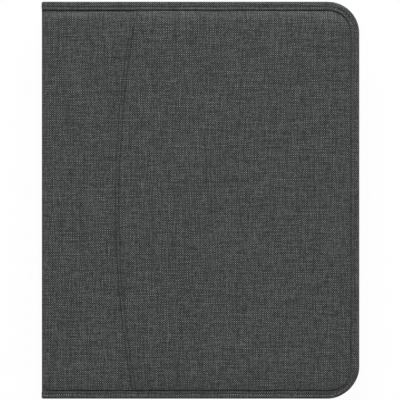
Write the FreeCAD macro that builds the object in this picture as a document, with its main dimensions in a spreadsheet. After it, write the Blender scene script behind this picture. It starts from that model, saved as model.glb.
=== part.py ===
import FreeCAD, Part
import math
import os
import Sketcher

# Tablet keyboard case: a padded zip-around folio with a keyboard on its base and a tablet holder on its lid.
# Millimetres. The closed case lies on its back cover, with the origin under the middle of the case.
# +X runs from the spine to the opening edge, +Y to the front's top edge and +Z up through the front cover.

SIZES = {
    # Covers, from the outside in
    "outer_cloth": 0.8,
    "cover_foam": 1.0,
    "cover_board": 1.6,
    "spine_board": 1.8,
    "lining_cloth": 0.6,
    "cloth_gap": 0.05,
    "corner_round": 21.5,
    "crown_round": 1.8,
    "fold_radius": 4.0,
    # Bound edge
    "binding_width": 5.4,
    "binding_cloth": 0.6,
    "binding_overhang": 0.6,
    "groove_gap": 0.25,
    "spine_binding_gap": 2.2,
    # Front pocket, whose mouth is one long arc that bows towards the spine
    "pocket_cloth": 0.7,
    "pocket_mouth": 50.2,
    "pocket_curve": 900.0,
    # Zip
    "tape_cloth": 0.6,
    "tape_gap": 0.4,
    "back_tape_start": 0.4,
    "front_tape_start": 15.4,
    "chain_width": 2.4,
    "chain_height": 1.8,
    "chain_gap": 1.2,
    "slider_start": 7.4,
    "slider_length": 10.0,
    "slider_plate": 1.1,
    "slider_lip": 0.95,
    "slider_blade": 0.6,
    "slider_clearance": 0.3,
    "lug_plate": 0.8,
    "lug_length": 3.2,
    "pull_pin_radius": 0.6,
    "pull_eye_gap": 0.2,
    "pull_clearance": 0.08,
    "pull_eye_radius": 1.4,
    "pull_eye_height": 2.4,
    "pull_neck": 4.0,
    "pull_length": 24.0,
    "pull_width": 6.0,
    "pull_plate": 1.2,
    "pull_corner": 2.2,
    # Keyboard
    "keyboard_gap": 3.2,
    "keyboard_side_gap": 6.6,
    "palm_depth": 93.6,
    "strip_thickness": 0.8,
    "strip_width": 18.0,
    "strip_inset": 8.0,
    "tray_floor": 1.0,
    "tray_wall": 1.2,
    "battery_height": 2.2,
    "battery_width": 48.0,
    "battery_length": 84.0,
    "circuit_board": 0.8,
    "membrane": 0.6,
    "frame_plate": 1.2,
    "control_strip": 10.0,
    "front_margin": 4.5,
    "side_margin": 3.0,
    "key_pitch": 17.0,
    "row_pitch": 17.0,
    "function_pitch": 9.5,
    "key_gap": 2.4,
    "key_clearance": 0.4,
    "key_travel": 1.2,
    "cap_height": 2.2,
    "cap_proud": 1.6,
    "cap_taper": 0.7,
    "standoff_radius": 2.0,
    "standoff_inset": 14.0,
    "case_screw_radius": 0.8,
    "case_screw_head": 1.4,
    "case_screw_head_height": 0.6,
    "screw_clearance": 0.05,
    "screw_post_radius": 1.7,
    "post_wall_bite": 0.4,
    "screw_bite": 0.8,
    "screw_inset": 14.0,
    "board_gap": 0.4,
    "control_offset": 6.6,
    "switch_inset": 24.0,
    "switch_length": 4.0,
    "switch_width": 2.0,
    "switch_travel": 3.0,
    "switch_foot": 0.8,
    "control_proud": 0.5,
    "control_clearance": 0.3,
    "button_spacing": 16.0,
    "button_radius": 1.6,
    "button_rim": 0.6,
    "button_travel": 0.6,
    "light_spacing": 12.0,
    "light_pitch": 6.0,
    "light_radius": 0.8,
    "light_proud": 0.1,
    "port_inset": 62.0,
    "port_width": 8.0,
    "port_depth": 6.5,
    "port_shell": 0.3,
    "port_clearance": 0.1,
    # Tablet holder
    "closed_clearance": 1.6,
    "lip": 1.5,
    "tablet_gap": 7.8,
    "holder_plate": 3.4,
    "plate_gap": 0.2,
    "hinge_setback": 11.2,
    "barrel_radius": 2.2,
    "barrel_gap": 0.1,
    "hinge_pin_radius": 1.0,
    "hinge_clearance": 0.05,
    "knuckle_length": 40.0,
    "knuckle_gap": 0.4,
    "leaf_plate": 0.8,
    "leaf_inset": 1.2,
    "leaf_gap": 0.4,
    "rivet_radius": 1.0,
    "rivet_head_radius": 2.0,
    "rivet_head": 0.5,
    "hook_inset": 52.0,
    "hook_width": 26.0,
    "hook_wall": 2.0,
    "hook_reach": 5.0,
    "pad_rubber": 0.8,
    "pad_inset": 1.0,
    "clamp_travel": 14.0,
    "jaw_end_gap": 7.6,
    "jaw_wall": 3.0,
    "jaw_half": 60.0,
    "jaw_gap": 2.0,
    "arm_place": 40.0,
    "arm_width": 12.0,
    "arm_length": 55.0,
    "arm_clearance": 0.2,
    "channel_floor": 0.8,
    "retainer_plate": 0.8,
    "retainer_length": 10.0,
    "retainer_wing": 5.5,
    "retainer_setback": 7.0,
    "retainer_screw_radius": 0.7,
    "retainer_screw_head": 1.3,
    "retainer_screw_bite": 1.5,
    # Flat pocket on the base, beside the keyboard
    "inner_pocket_gap": 6.0,
    "inner_pocket_margin": 17.6,
    "inner_pocket_inset": 10.0,
    "inner_pocket_cloth": 0.7,
}

# Widths of the keys in each row, in key pitches, from the typist's left to right
FUNCTION_KEYS = [1.0] * 14
NUMBER_KEYS = [1.0] * 12 + [2.0]
UPPER_KEYS = [1.5] + [1.0] * 11 + [1.5]
HOME_KEYS = [1.75] + [1.0] * 10 + [2.25]
LOWER_KEYS = [2.25] + [1.0] * 9 + [2.75]
BOTTOM_KEYS = [1.0] * 4 + [5.0] + [1.0] * 5
SPACE_BAR_INDEX = BOTTOM_KEYS.index(max(BOTTOM_KEYS))
ROW_UNITS = 14

# Places that follow from the sizes: heights first, then insets from the outline, then places along X and Y
PLACES = {
    "back_lining_low": "size.outer_cloth + size.cover_foam + size.cover_board",
    "back_lining_top": "back_lining_low + size.lining_cloth",
    "tray_low": "back_lining_top + size.strip_thickness",
    "battery_low": "tray_low + size.tray_floor",
    "circuit_low": "battery_low + size.battery_height",
    "circuit_top": "circuit_low + size.circuit_board",
    "membrane_top": "circuit_top + size.membrane",
    "cap_low": "membrane_top + size.key_travel",
    "cap_top": "cap_low + size.cap_height",
    "frame_top": "cap_top - size.cap_proud",
    "frame_low": "frame_top - size.frame_plate",
    "lip_low": "cap_top + size.closed_clearance",
    "lip_top": "lip_low + size.lip",
    "plate_low": "lip_top + size.tablet_gap",
    "plate_top": "plate_low + size.holder_plate",
    "front_lining_low": "plate_top + size.plate_gap",
    "front_lining_top": "front_lining_low + size.lining_cloth",
    "front_foam_low": "front_lining_top + size.cover_board",
    "front_cloth_low": "front_foam_low + size.cover_foam",
    "front_face": "front_cloth_low + size.outer_cloth",
    "case_thickness": "front_face + size.pocket_cloth",
    "zip_middle": "(back_lining_top + front_lining_low) / 2",
    "spine_low": "size.fold_radius",
    "spine_high": "front_face - size.fold_radius",
    "spine_binding_low": "spine_low + size.spine_binding_gap",
    "spine_binding_high": "spine_high - size.spine_binding_gap",
    "back_crown": "size.binding_width + size.groove_gap",
    "front_crown": "back_crown + size.pocket_cloth + size.cloth_gap",
    "tape_outer": "size.binding_width + size.tape_gap",
    "tape_inner": "tape_outer + size.tape_cloth",
    "chain_outer": "(tape_outer + tape_inner - size.chain_width) / 2",
    "chain_inner": "chain_outer + size.chain_width",
    "keyboard_depth": "size.control_strip + size.function_pitch + 5 * size.row_pitch + size.front_margin",
    "spine_thickness": "size.outer_cloth + size.spine_board + size.lining_cloth",
    "inside_width": "size.keyboard_gap + keyboard_depth + size.palm_depth",
    "case_width": "size.binding_overhang + spine_thickness + inside_width + tape_inner",
    "outline_right": "case_width / 2",
    "outline_left": "-case_width / 2",
    "spine_face": "outline_left + size.binding_overhang",
    "spine_inner": "spine_face + spine_thickness",
    "cover_left": "spine_face + size.fold_radius",
    "back_tape_left": "cover_left + size.back_tape_start",
    "front_tape_left": "cover_left + size.front_tape_start",
    "inside_right": "outline_right - tape_inner",
    "keyboard_left": "spine_inner + size.keyboard_gap",
    "keyboard_right": "keyboard_left + keyboard_depth",
    "function_row_left": "keyboard_left + size.control_strip",
    "number_row_left": "function_row_left + size.function_pitch",
    "upper_row_left": "number_row_left + size.row_pitch",
    "home_row_left": "upper_row_left + size.row_pitch",
    "lower_row_left": "home_row_left + size.row_pitch",
    "bottom_row_left": "lower_row_left + size.row_pitch",
    "post_inset": "size.tray_wall - size.post_wall_bite + size.screw_post_radius",
    "screw_left": "keyboard_left + post_inset",
    "screw_right": "keyboard_right - post_inset",
    "board_left": "screw_left + size.screw_post_radius + size.board_gap",
    "board_right": "screw_right - size.screw_post_radius - size.board_gap",
    "control_x": "keyboard_left + size.control_offset",
    "hinge_x": "spine_inner + size.hinge_setback",
    "hinge_z": "front_lining_low - size.barrel_gap - size.barrel_radius",
    "leaf_left": "spine_inner + size.leaf_inset",
    "leaf_right": "hinge_x - size.barrel_radius - size.leaf_gap",
    "leaf_low": "front_lining_low - size.leaf_plate",
    "rivet_x": "(leaf_left + leaf_right) / 2",
    "plate_left": "hinge_x + size.barrel_radius + size.leaf_gap",
    "hook_face": "plate_left + size.hook_wall",
    "jaw_face": "inside_right - size.jaw_end_gap - size.clamp_travel - size.jaw_wall",
    "plate_right": "jaw_face - size.jaw_gap",
    "arm_left": "jaw_face - size.arm_length",
    "channel_low": "plate_low + size.channel_floor",
    "arm_low": "channel_low + size.arm_clearance",
    "retainer_low": "plate_top - size.retainer_plate",
    "arm_high": "retainer_low - size.arm_clearance",
    "retainer_right": "plate_right - size.retainer_setback",
    "retainer_left": "retainer_right - size.retainer_length",
    "inner_pocket_left": "keyboard_right + size.inner_pocket_gap",
    "inner_pocket_right": "inside_right - size.inner_pocket_margin",
    "keyboard_half": "size.key_pitch * %d / 2 + size.side_margin" % ROW_UNITS,
    "half_height": "keyboard_half + size.keyboard_side_gap + tape_inner",
    "crown_half": "half_height - back_crown",
    "screw_y": "keyboard_half - size.screw_inset",
    "switch_y": "size.switch_inset - keyboard_half",
    "button_y": "switch_y + size.button_spacing",
    "light_y": "button_y + size.light_spacing",
    "port_y": "keyboard_half - size.port_inset",
    "hook_y": "keyboard_half - size.hook_inset",
    "zip_line": "-half_height + (tape_outer + tape_inner) / 2",
    "slider_x": "cover_left + size.slider_start",
    "slider_inner": "size.chain_width / 2 + size.slider_clearance",
    "slider_outer": "slider_inner + size.slider_plate",
    "slider_lip_low": "size.chain_gap / 2 + size.chain_height + size.slider_clearance",
    "slider_lip_high": "slider_lip_low + size.slider_lip",
    "pull_y": "zip_line - slider_outer - size.pull_eye_radius - size.pull_eye_gap",
}

doc = FreeCAD.newDocument("tablet_keyboard_case")
sub_parts = []


def fill_sheet(name, cells):
    """Spreadsheet with a name in column A and its value, under that name, in column B."""
    sheet = doc.addObject("Spreadsheet::Sheet", name)
    for row, (alias, content) in enumerate(cells.items(), start=1):
        sheet.set("A%d" % row, alias)
        sheet.set("B%d" % row, content)
        sheet.setAlias("B%d" % row, alias)
    doc.recompute()
    return sheet


size = fill_sheet("size", {alias: str(value) for alias, value in SIZES.items()})
place = fill_sheet("place", {alias: "=" + formula for alias, formula in PLACES.items()})

ALONG_Y = FreeCAD.Rotation(FreeCAD.Vector(1, 0, 0), -90)
CAP_UPRIGHT = FreeCAD.Rotation(FreeCAD.Vector(1, 0, 0), 90)
MIRROR_SIDES = (-1, 1)


def keep(item):
    """Mark a finished piece as a sub-part, filed under its label."""
    sub_parts.append(item)
    return item


def set_base(item, x, y, z):
    for axis, expression in zip("xyz", (x, y, z)):
        item.setExpression("Placement.Base." + axis, expression)


def box(name, x, y, z):
    """Block between two expressions along each axis."""
    item = doc.addObject("Part::Box", name)
    for side, (low, high) in zip(("Length", "Width", "Height"), (x, y, z)):
        item.setExpression(side, "(%s) - (%s)" % (high, low))
    set_base(item, x[0], y[0], z[0])
    return item


def both_sides(half):
    return ("-(%s)" % half, half)


def around(middle, half):
    return ("%s - (%s)" % (middle, half), "%s + (%s)" % (middle, half))


def post(name, radius, x, y, z):
    """Upright round bar between two heights."""
    item = doc.addObject("Part::Cylinder", name)
    item.setExpression("Radius", radius)
    item.setExpression("Height", "(%s) - (%s)" % (z[1], z[0]))
    set_base(item, x, y, z[0])
    return item


def rod(name, radius, x, y, z):
    """Round bar along Y between two places."""
    item = doc.addObject("Part::Cylinder", name)
    item.Placement = FreeCAD.Placement(FreeCAD.Vector(), ALONG_Y)
    item.setExpression("Radius", radius)
    item.setExpression("Height", "(%s) - (%s)" % (y[1], y[0]))
    set_base(item, x, y[0], z)
    return item


def group(name, pieces):
    item = doc.addObject("Part::Compound", name)
    item.Links = pieces
    return item


def fuse(name, pieces):
    item = doc.addObject("Part::MultiFuse", name)
    item.Shapes = pieces
    return item


def cut(name, base, tools):
    item = doc.addObject("Part::Cut", name)
    item.Base = base
    item.Tool = tools[0] if len(tools) == 1 else group(name + "_tools", tools)
    return item


def new_body(name):
    return doc.addObject("PartDesign::Body", name)


def origin_plane(body, role):
    return next(plane for plane in body.Origin.OriginFeatures if plane.Role == role)


def cover_sketch(body, name, left, inset, level):
    """Cover outline drawn in by an inset, square at the spine side and round at the opening edge."""
    sketch = body.newObject("Sketcher::SketchObject", name)
    sketch.AttachmentSupport = (origin_plane(body, "XY_Plane"), [""])
    sketch.MapMode = "FlatFace"
    sketch.setExpression("AttachmentOffset.Base.z", level)
    sides = {
        "left": left,
        "right": "place.outline_right - (%s)" % inset,
        "top": "place.half_height - (%s)" % inset,
        "bottom": "(%s) - place.half_height" % inset,
        "corner": "size.corner_round - (%s)" % inset,
    }
    start = {side: float(place.evalExpression(expression)) for side, expression in sides.items()}
    turn_x = start["right"] - start["corner"]
    turn_y = start["top"] - start["corner"]
    corner_points = [
        FreeCAD.Vector(start["left"], start["bottom"]),
        FreeCAD.Vector(turn_x, start["bottom"]),
        FreeCAD.Vector(start["right"], -turn_y),
        FreeCAD.Vector(start["right"], turn_y),
        FreeCAD.Vector(turn_x, start["top"]),
        FreeCAD.Vector(start["left"], start["top"]),
    ]
    up = FreeCAD.Vector(0, 0, 1)
    low_circle = Part.Circle(FreeCAD.Vector(turn_x, -turn_y), up, start["corner"])
    high_circle = Part.Circle(FreeCAD.Vector(turn_x, turn_y), up, start["corner"])
    low_edge = sketch.addGeometry(Part.LineSegment(corner_points[0], corner_points[1]))
    low_turn = sketch.addGeometry(Part.ArcOfCircle(low_circle, -math.pi / 2, 0))
    right_edge = sketch.addGeometry(Part.LineSegment(corner_points[2], corner_points[3]))
    high_turn = sketch.addGeometry(Part.ArcOfCircle(high_circle, 0, math.pi / 2))
    high_edge = sketch.addGeometry(Part.LineSegment(corner_points[4], corner_points[5]))
    left_edge = sketch.addGeometry(Part.LineSegment(corner_points[5], corner_points[0]))
    smooth_run = [low_edge, low_turn, right_edge, high_turn, high_edge]
    for first, second in zip(smooth_run, smooth_run[1:]):
        sketch.addConstraint(Sketcher.Constraint("Tangent", first, 2, second, 1))
    sketch.addConstraint(Sketcher.Constraint("Coincident", high_edge, 2, left_edge, 1))
    sketch.addConstraint(Sketcher.Constraint("Coincident", left_edge, 2, low_edge, 1))
    sketch.addConstraint(Sketcher.Constraint("Horizontal", low_edge))
    sketch.addConstraint(Sketcher.Constraint("Vertical", right_edge))
    sketch.addConstraint(Sketcher.Constraint("Vertical", left_edge))
    sketch.addConstraint(Sketcher.Constraint("Equal", low_turn, high_turn))
    measures = {
        "left": Sketcher.Constraint("DistanceX", -1, 1, left_edge, 1, start["left"]),
        "right": Sketcher.Constraint("DistanceX", -1, 1, right_edge, 1, start["right"]),
        "top": Sketcher.Constraint("DistanceY", -1, 1, high_edge, 1, start["top"]),
        "bottom": Sketcher.Constraint("DistanceY", -1, 1, low_edge, 1, start["bottom"]),
        "corner": Sketcher.Constraint("Radius", low_turn, start["corner"]),
    }
    for side, measure in measures.items():
        sketch.renameConstraint(sketch.addConstraint(measure), side)
        sketch.setExpression("Constraints." + side, sides[side])
    return sketch


def add_plate(body, name, left, inset, z):
    """Add a plate of the cover outline between two heights."""
    pad = body.newObject("PartDesign::Pad", name)
    pad.Profile = cover_sketch(body, name + "_outline", left, inset, z[0])
    pad.setExpression("Length", "(%s) - (%s)" % (z[1], z[0]))
    doc.recompute()
    return pad


def cut_plate(body, name, left, inset, z):
    """Cut a plate of the cover outline away, upwards from its lower height."""
    pocket = body.newObject("PartDesign::Pocket", name)
    pocket.Profile = cover_sketch(body, name + "_outline", left, inset, z[0])
    pocket.setExpression("Length", "(%s) - (%s)" % (z[1], z[0]))
    pocket.Reversed = True
    doc.recompute()
    return pocket


def round_rim(body, name, base, level, left):
    """Round the rim of a crown at one height, apart from the edge that goes on into the fold."""
    height = float(place.evalExpression(level))
    fold_line = float(place.evalExpression(left))
    edges = []
    for number, edge in enumerate(base.Shape.Edges, start=1):
        level_edge = abs(edge.BoundBox.ZMin - height) < 1e-4 and abs(edge.BoundBox.ZMax - height) < 1e-4
        if level_edge and edge.BoundBox.XMax > fold_line + 1e-4:
            edges.append("Edge%d" % number)
    fillet = body.newObject("PartDesign::Fillet", name)
    fillet.Base = (base, edges)
    fillet.setExpression("Radius", "size.crown_round")
    doc.recompute()
    return fillet


def panel(name, left, inset, z):
    body = new_body(name)
    add_plate(body, name + "_plate", left, inset, z)
    return body


def cover_cloth(name, crown_inset, flange, crown, hollow, rim):
    """Outer cloth of one cover: a crown over the padding and a flat flange that goes into the binding."""
    body = new_body(name)
    add_plate(body, name + "_flange", "place.cover_left", "size.binding_cloth", flange)
    raised = add_plate(body, name + "_crown", "place.cover_left", crown_inset, crown)
    round_rim(body, name + "_rim", raised, rim, "place.cover_left")
    inner = crown_inset + " + size.outer_cloth"
    cut_plate(body, name + "_hollow", "place.cover_left - size.outer_cloth", inner, hollow)
    return body


def binding(name, low, high):
    """Cloth strip folded round the edge of one cover, closed at its two ends beside the spine."""
    body = new_body(name)
    add_plate(body, name + "_strip", "place.outline_left", "0", (low, high))
    cut_plate(body, name + "_inside", "place.outline_left - 1", "size.binding_width", (low, high))
    slot = (low + " + size.binding_cloth", high + " - size.binding_cloth")
    cut_plate(body, name + "_slot", "place.cover_left", "size.binding_cloth", slot)
    return body


def zip_tape(name, leg, walls):
    """Tape with a leg sewn into the binding and a wall, in steps of height, that carries half the chain."""
    body = new_body(name)
    add_plate(body, name + "_leg", "place.back_tape_left", "size.binding_cloth", leg)
    for number, (left, z) in enumerate(walls):
        add_plate(body, "%s_wall_%d" % (name, number), left, "place.tape_outer", z)
    lows, highs = zip(leg, *(z for left, z in walls))
    full_z = (min(lows, key=place.evalExpression), max(highs, key=place.evalExpression))
    cut_plate(body, name + "_inside", "place.back_tape_left - 1", "place.tape_inner", full_z)
    return body


def zip_chain(name, left, z):
    body = new_body(name)
    add_plate(body, name + "_bead", left, "place.chain_outer", z)
    cut_plate(body, name + "_inside", left + " - 1", "place.chain_inner", z)
    return body


def fold_strip(name, x_way, z_way, y_half, z):
    """Quarter round of cloth where a cover turns into the spine."""
    rotation = FreeCAD.Rotation(x_way, z_way, FreeCAD.Vector(0, -1, 0), "ZXY")
    layers = []
    for layer, radius in (("outer", "size.fold_radius"), ("inner", "size.fold_radius - size.outer_cloth")):
        quarter = doc.addObject("Part::Cylinder", "%s_%s" % (name, layer))
        quarter.Placement = FreeCAD.Placement(FreeCAD.Vector(), rotation)
        quarter.Angle = 90
        quarter.setExpression("Radius", radius)
        quarter.setExpression("Height", "2 * (%s)" % y_half)
        set_base(quarter, "place.cover_left", y_half, z)
        layers.append(quarter)
    return cut(name, layers[0], layers[1:])


def make_back_cover():
    left = "place.cover_left"
    flange = ("place.back_lining_low - size.outer_cloth", "place.back_lining_low")
    hollow = ("size.outer_cloth", "place.back_lining_low")
    crown = ("0", "place.back_lining_low")
    keep(cover_cloth("back_outer_fabric", "place.back_crown", flange, crown, hollow, "0"))
    inside = "place.back_crown + size.outer_cloth + size.cloth_gap"
    foam_top = "size.outer_cloth + size.cover_foam"
    keep(panel("back_foam", left, inside, ("size.outer_cloth", foam_top)))
    keep(panel("back_board", left, inside, (foam_top, "place.back_lining_low")))
    keep(panel("back_lining", left, "size.binding_cloth", ("place.back_lining_low", "place.back_lining_top")))
    low = "place.back_lining_low - size.outer_cloth - size.binding_cloth"
    high = "place.back_lining_top + size.tape_cloth + size.binding_cloth"
    keep(binding("back_binding", low, high))


def make_front_cover():
    left = "place.cover_left"
    flange_top = "place.front_lining_top + size.outer_cloth"
    flange = ("place.front_lining_top", flange_top)
    crown = ("place.front_lining_top", "place.front_face")
    hollow = ("place.front_lining_top", "place.front_cloth_low")
    keep(cover_cloth("front_outer_fabric", "place.front_crown", flange, crown, hollow, "place.front_face"))
    inside = "place.front_crown + size.outer_cloth + size.cloth_gap"
    keep(panel("front_foam", left, inside, ("place.front_foam_low", "place.front_cloth_low")))
    keep(panel("front_board", left, inside, ("place.front_lining_top", "place.front_foam_low")))
    lining_z = ("place.front_lining_low", "place.front_lining_top")
    sheet = panel("front_lining_sheet", left, "size.binding_cloth", lining_z)
    keep(cut("front_lining", sheet, rivet_posts("front_lining_hole", lining_z)))
    low = "place.front_lining_low - size.tape_cloth - size.binding_cloth"
    keep(binding("front_binding", low, flange_top + " + size.binding_cloth"))
    keep(front_pocket(flange_top))


def front_pocket(low):
    """Second cloth over the crown, sewn down on three sides, with a curved mouth towards the spine."""
    body = new_body("front_pocket_sheet")
    name = "front_pocket"
    crown_z = (low, "place.case_thickness")
    raised = add_plate(body, name + "_crown", "place.cover_left", "place.back_crown", crown_z)
    round_rim(body, name + "_rim", raised, "place.case_thickness", "place.cover_left")
    inner = "place.back_crown + size.pocket_cloth"
    cut_plate(body, name + "_hollow", "place.cover_left - 1", inner, (low, "place.front_face"))
    mouth_x = "place.spine_face + size.pocket_mouth + size.pocket_curve"
    mouth = post("front_pocket_mouth", "size.pocket_curve", mouth_x, "0", ("0", "place.case_thickness + 1"))
    sheet = doc.addObject("Part::Common", "front_pocket_panel")
    sheet.Base = body
    sheet.Tool = mouth
    return sheet


SPINE_Z = ("place.spine_low", "place.spine_high")
SPINE_BINDING_Z = ("place.spine_binding_low", "place.spine_binding_high")


def spine_layer(name, main_x, end_x):
    """One layer of the spine, with an end tab that goes into the spine's binding at each end."""
    pieces = [box(name + "_main", main_x, both_sides("place.crown_half"), SPINE_Z)]
    ends = ("place.crown_half - size.outer_cloth", "place.half_height - size.binding_cloth")
    for side, end in zip(MIRROR_SIDES, ("bottom", "top")):
        pieces.append(box("%s_%s_tab" % (name, end), end_x, ordered(side, *ends), SPINE_BINDING_Z))
    return fuse(name, pieces)


def make_spine():
    cloth_inner = "place.spine_face + size.outer_cloth"
    tab_low = "place.spine_face + size.binding_cloth"
    tab = (tab_low, tab_low + " + size.outer_cloth")
    keep(spine_layer("spine_outer_fabric", ("place.spine_face", cloth_inner), tab))
    lining = ("place.spine_inner - size.lining_cloth", "place.spine_inner")
    board_half = "place.crown_half - size.outer_cloth - size.cloth_gap"
    keep(box("spine_board", (cloth_inner, lining[0]), both_sides(board_half), SPINE_Z))
    keep(spine_layer("spine_lining", lining, lining))
    ends = []
    inside_x = (tab_low, "place.spine_inner")
    outside_x = ("place.spine_face", "place.spine_inner + size.binding_cloth")
    for side, name in zip(MIRROR_SIDES, ("bottom", "top")):
        inner_edge = "place.half_height - size.binding_width"
        outer_y = ordered(side, inner_edge, "place.half_height")
        outer = box("spine_binding_" + name, outside_x, outer_y, SPINE_BINDING_Z)
        slot_y = ordered(side, inner_edge, "place.half_height - size.binding_cloth")
        slot = box("spine_binding_%s_slot" % name, inside_x, slot_y, SPINE_BINDING_Z)
        ends.append(cut("spine_binding_%s_end" % name, outer, [slot]))
    keep(group("spine_binding", ends))


def ordered(side, near, far):
    """Span from near to far on one side of the middle plane, lower end first."""
    return (near, far) if side > 0 else ("-(%s)" % far, "-(%s)" % near)


def make_folds():
    inwards = FreeCAD.Vector(-1, 0, 0)
    up = FreeCAD.Vector(0, 0, 1)
    upper_half = "place.half_height - place.front_crown"
    keep(fold_strip("upper_fold", up, inwards, upper_half, "place.spine_high"))
    keep(fold_strip("lower_fold", inwards, -up, "place.crown_half", "place.spine_low"))


def make_zip():
    gap = "size.chain_gap / 2"
    back_chain_top = "place.zip_middle - " + gap
    back_chain_low = back_chain_top + " - size.chain_height"
    front_chain_low = "place.zip_middle + " + gap
    front_chain_top = front_chain_low + " + size.chain_height"
    back_leg = ("place.back_lining_top", "place.back_lining_top + size.tape_cloth")
    front_leg = ("place.front_lining_low - size.tape_cloth", "place.front_lining_low")
    back_wall = ("place.back_tape_left", (back_leg[0], back_chain_low))
    keep(zip_tape("zipper_tape_back", back_leg, [back_wall]))
    keep(zip_chain("zipper_teeth_back", "place.back_tape_left", (back_chain_low, back_chain_top)))
    over_slider = "place.zip_middle + place.slider_lip_high + size.slider_clearance"
    full_wall = ("place.back_tape_left", (over_slider, front_leg[1]))
    chain_wall = ("place.front_tape_left", (front_chain_top, over_slider))
    keep(zip_tape("zipper_tape_front", front_leg, [full_wall, chain_wall]))
    keep(zip_chain("zipper_teeth_front", "place.front_tape_left", (front_chain_low, front_chain_top)))
    make_slider()
    make_pull()


def from_line(low, high):
    """Span measured outwards from the middle of the chain on the bottom edge."""
    return ("place.zip_line + (%s)" % low, "place.zip_line + (%s)" % high)


def make_slider():
    """Two lipped plates round the chains, joined by a blade, with lugs and a pin for the pull."""
    x = around("place.slider_x", "size.slider_length / 2")
    tape_side = "size.tape_cloth / 2 + size.slider_clearance"
    full_z = around("place.zip_middle", "place.slider_lip_high")
    pieces = []
    for side, name in zip(MIRROR_SIDES, ("outer", "inner")):
        plate_y = from_line(*ordered(side, "place.slider_inner", "place.slider_outer"))
        pieces.append(box("slider_%s_plate" % name, x, plate_y, full_z))
        lip_y = from_line(*ordered(side, tape_side, "place.slider_outer"))
        for way in MIRROR_SIDES:
            lip = ordered(way, "place.slider_lip_low", "place.slider_lip_high")
            lip_z = tuple("place.zip_middle + (%s)" % edge for edge in lip)
            pieces.append(box("slider_%s_lip_%d" % (name, way), x, lip_y, lip_z))
    blade_z = around("place.zip_middle", "size.slider_blade / 2")
    pieces.append(box("slider_blade", x, from_line("-place.slider_outer", "place.slider_outer"), blade_z))
    lug_x = around("place.slider_x", "size.lug_length / 2")
    lug_y = ("place.pull_y - size.pull_pin_radius", "place.zip_line - place.slider_outer")
    lug_low = "size.pull_eye_height / 2 + size.slider_clearance"
    lug_high = lug_low + " + size.lug_plate"
    for way in MIRROR_SIDES:
        lug_z = tuple("place.zip_middle + (%s)" % edge for edge in ordered(way, lug_low, lug_high))
        pieces.append(box("slider_lug_%d" % way, lug_x, lug_y, lug_z))
    pin_z = around("place.zip_middle", lug_high)
    pieces.append(post("slider_pin", "size.pull_pin_radius", "place.slider_x", "place.pull_y", pin_z))
    keep(fuse("zipper_slider", pieces))


def make_pull():
    """Tab on an eye round the slider's pin, lying along the zip at rest."""
    eye_z = around("place.zip_middle", "size.pull_eye_height / 2")
    eye = post("pull_eye", "size.pull_eye_radius", "place.slider_x", "place.pull_y", eye_z)
    tab_y = around("place.pull_y", "size.pull_plate / 2")
    tab_x = ("place.slider_x + size.pull_neck", "place.slider_x + size.pull_length")
    neck = box("pull_neck", ("place.slider_x", tab_x[0]), tab_y, eye_z)
    tab = box("pull_tab", tab_x, tab_y, around("place.zip_middle", "size.pull_width / 2"))
    tab_end = doc.addObject("Part::Fillet", "pull_tab_end")
    tab_end.Base = tab
    doc.recompute()
    far_x = tab.Shape.BoundBox.XMax
    corner = size.get("pull_corner")
    tab_end.Edges = [
        (number, corner, corner)
        for number, edge in enumerate(tab.Shape.Edges, start=1)
        if edge.BoundBox.XMin > far_x - 1e-4 and edge.BoundBox.YLength > edge.BoundBox.ZLength
    ]
    bore_radius = "size.pull_pin_radius + size.pull_clearance"
    bore = post("pull_bore", bore_radius, "place.slider_x", "place.pull_y", eye_z)
    keep(cut("zipper_pull", fuse("pull_blank", [eye, neck, tab_end]), [bore]))


def key_spans(widths):
    """Middle and width of each key along a row, in key pitches from the middle of the keyboard."""
    spans = []
    edge = -ROW_UNITS / 2
    for width in widths:
        spans.append((edge + width / 2, width))
        edge += width
    return spans


BOTTOM_SPANS = key_spans(BOTTOM_KEYS)
SPACE_SPAN = BOTTOM_SPANS.pop(SPACE_BAR_INDEX)
ROWS = {
    "function_row": ("place.function_row_left", "size.function_pitch", key_spans(FUNCTION_KEYS)),
    "number_row": ("place.number_row_left", "size.row_pitch", key_spans(NUMBER_KEYS)),
    "upper_row": ("place.upper_row_left", "size.row_pitch", key_spans(UPPER_KEYS)),
    "home_row": ("place.home_row_left", "size.row_pitch", key_spans(HOME_KEYS)),
    "lower_row": ("place.lower_row_left", "size.row_pitch", key_spans(LOWER_KEYS)),
    "bottom_row": ("place.bottom_row_left", "size.row_pitch", BOTTOM_SPANS),
    "space_bar": ("place.bottom_row_left", "size.row_pitch", [SPACE_SPAN]),
}


def key_cap(name, row_left, row_depth, middle, width):
    """Cap whose four sides lean in towards its top."""
    half_x = "((%s) - size.key_gap) / 2" % row_depth
    half_y = "(%s * size.key_pitch - size.key_gap) / 2" % width
    cap = doc.addObject("Part::Wedge", name)
    cap.Placement = FreeCAD.Placement(FreeCAD.Vector(), CAP_UPRIGHT)
    for along, half in (("X", half_x), ("Z", half_y)):
        cap.setExpression(along + "min", "-" + half)
        cap.setExpression(along + "max", half)
        cap.setExpression(along + "2min", "size.cap_taper - " + half)
        cap.setExpression(along + "2max", half + " - size.cap_taper")
    cap.Ymin = 0
    cap.setExpression("Ymax", "size.cap_height")
    set_base(cap, "%s + (%s) / 2" % (row_left, row_depth), "%s * size.key_pitch" % middle, "place.cap_low")
    return cap


def key_window(name, row_left, row_depth, middle, width):
    """Opening in the top frame round one cap."""
    room = "- size.key_gap / 2 + size.key_clearance"
    x = around("%s + (%s) / 2" % (row_left, row_depth), "(%s) / 2 %s" % (row_depth, room))
    y = around("%s * size.key_pitch" % middle, "%s * size.key_pitch / 2 %s" % (width, room))
    return box(name, x, y, ("place.frame_low", "place.frame_top"))


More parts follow.
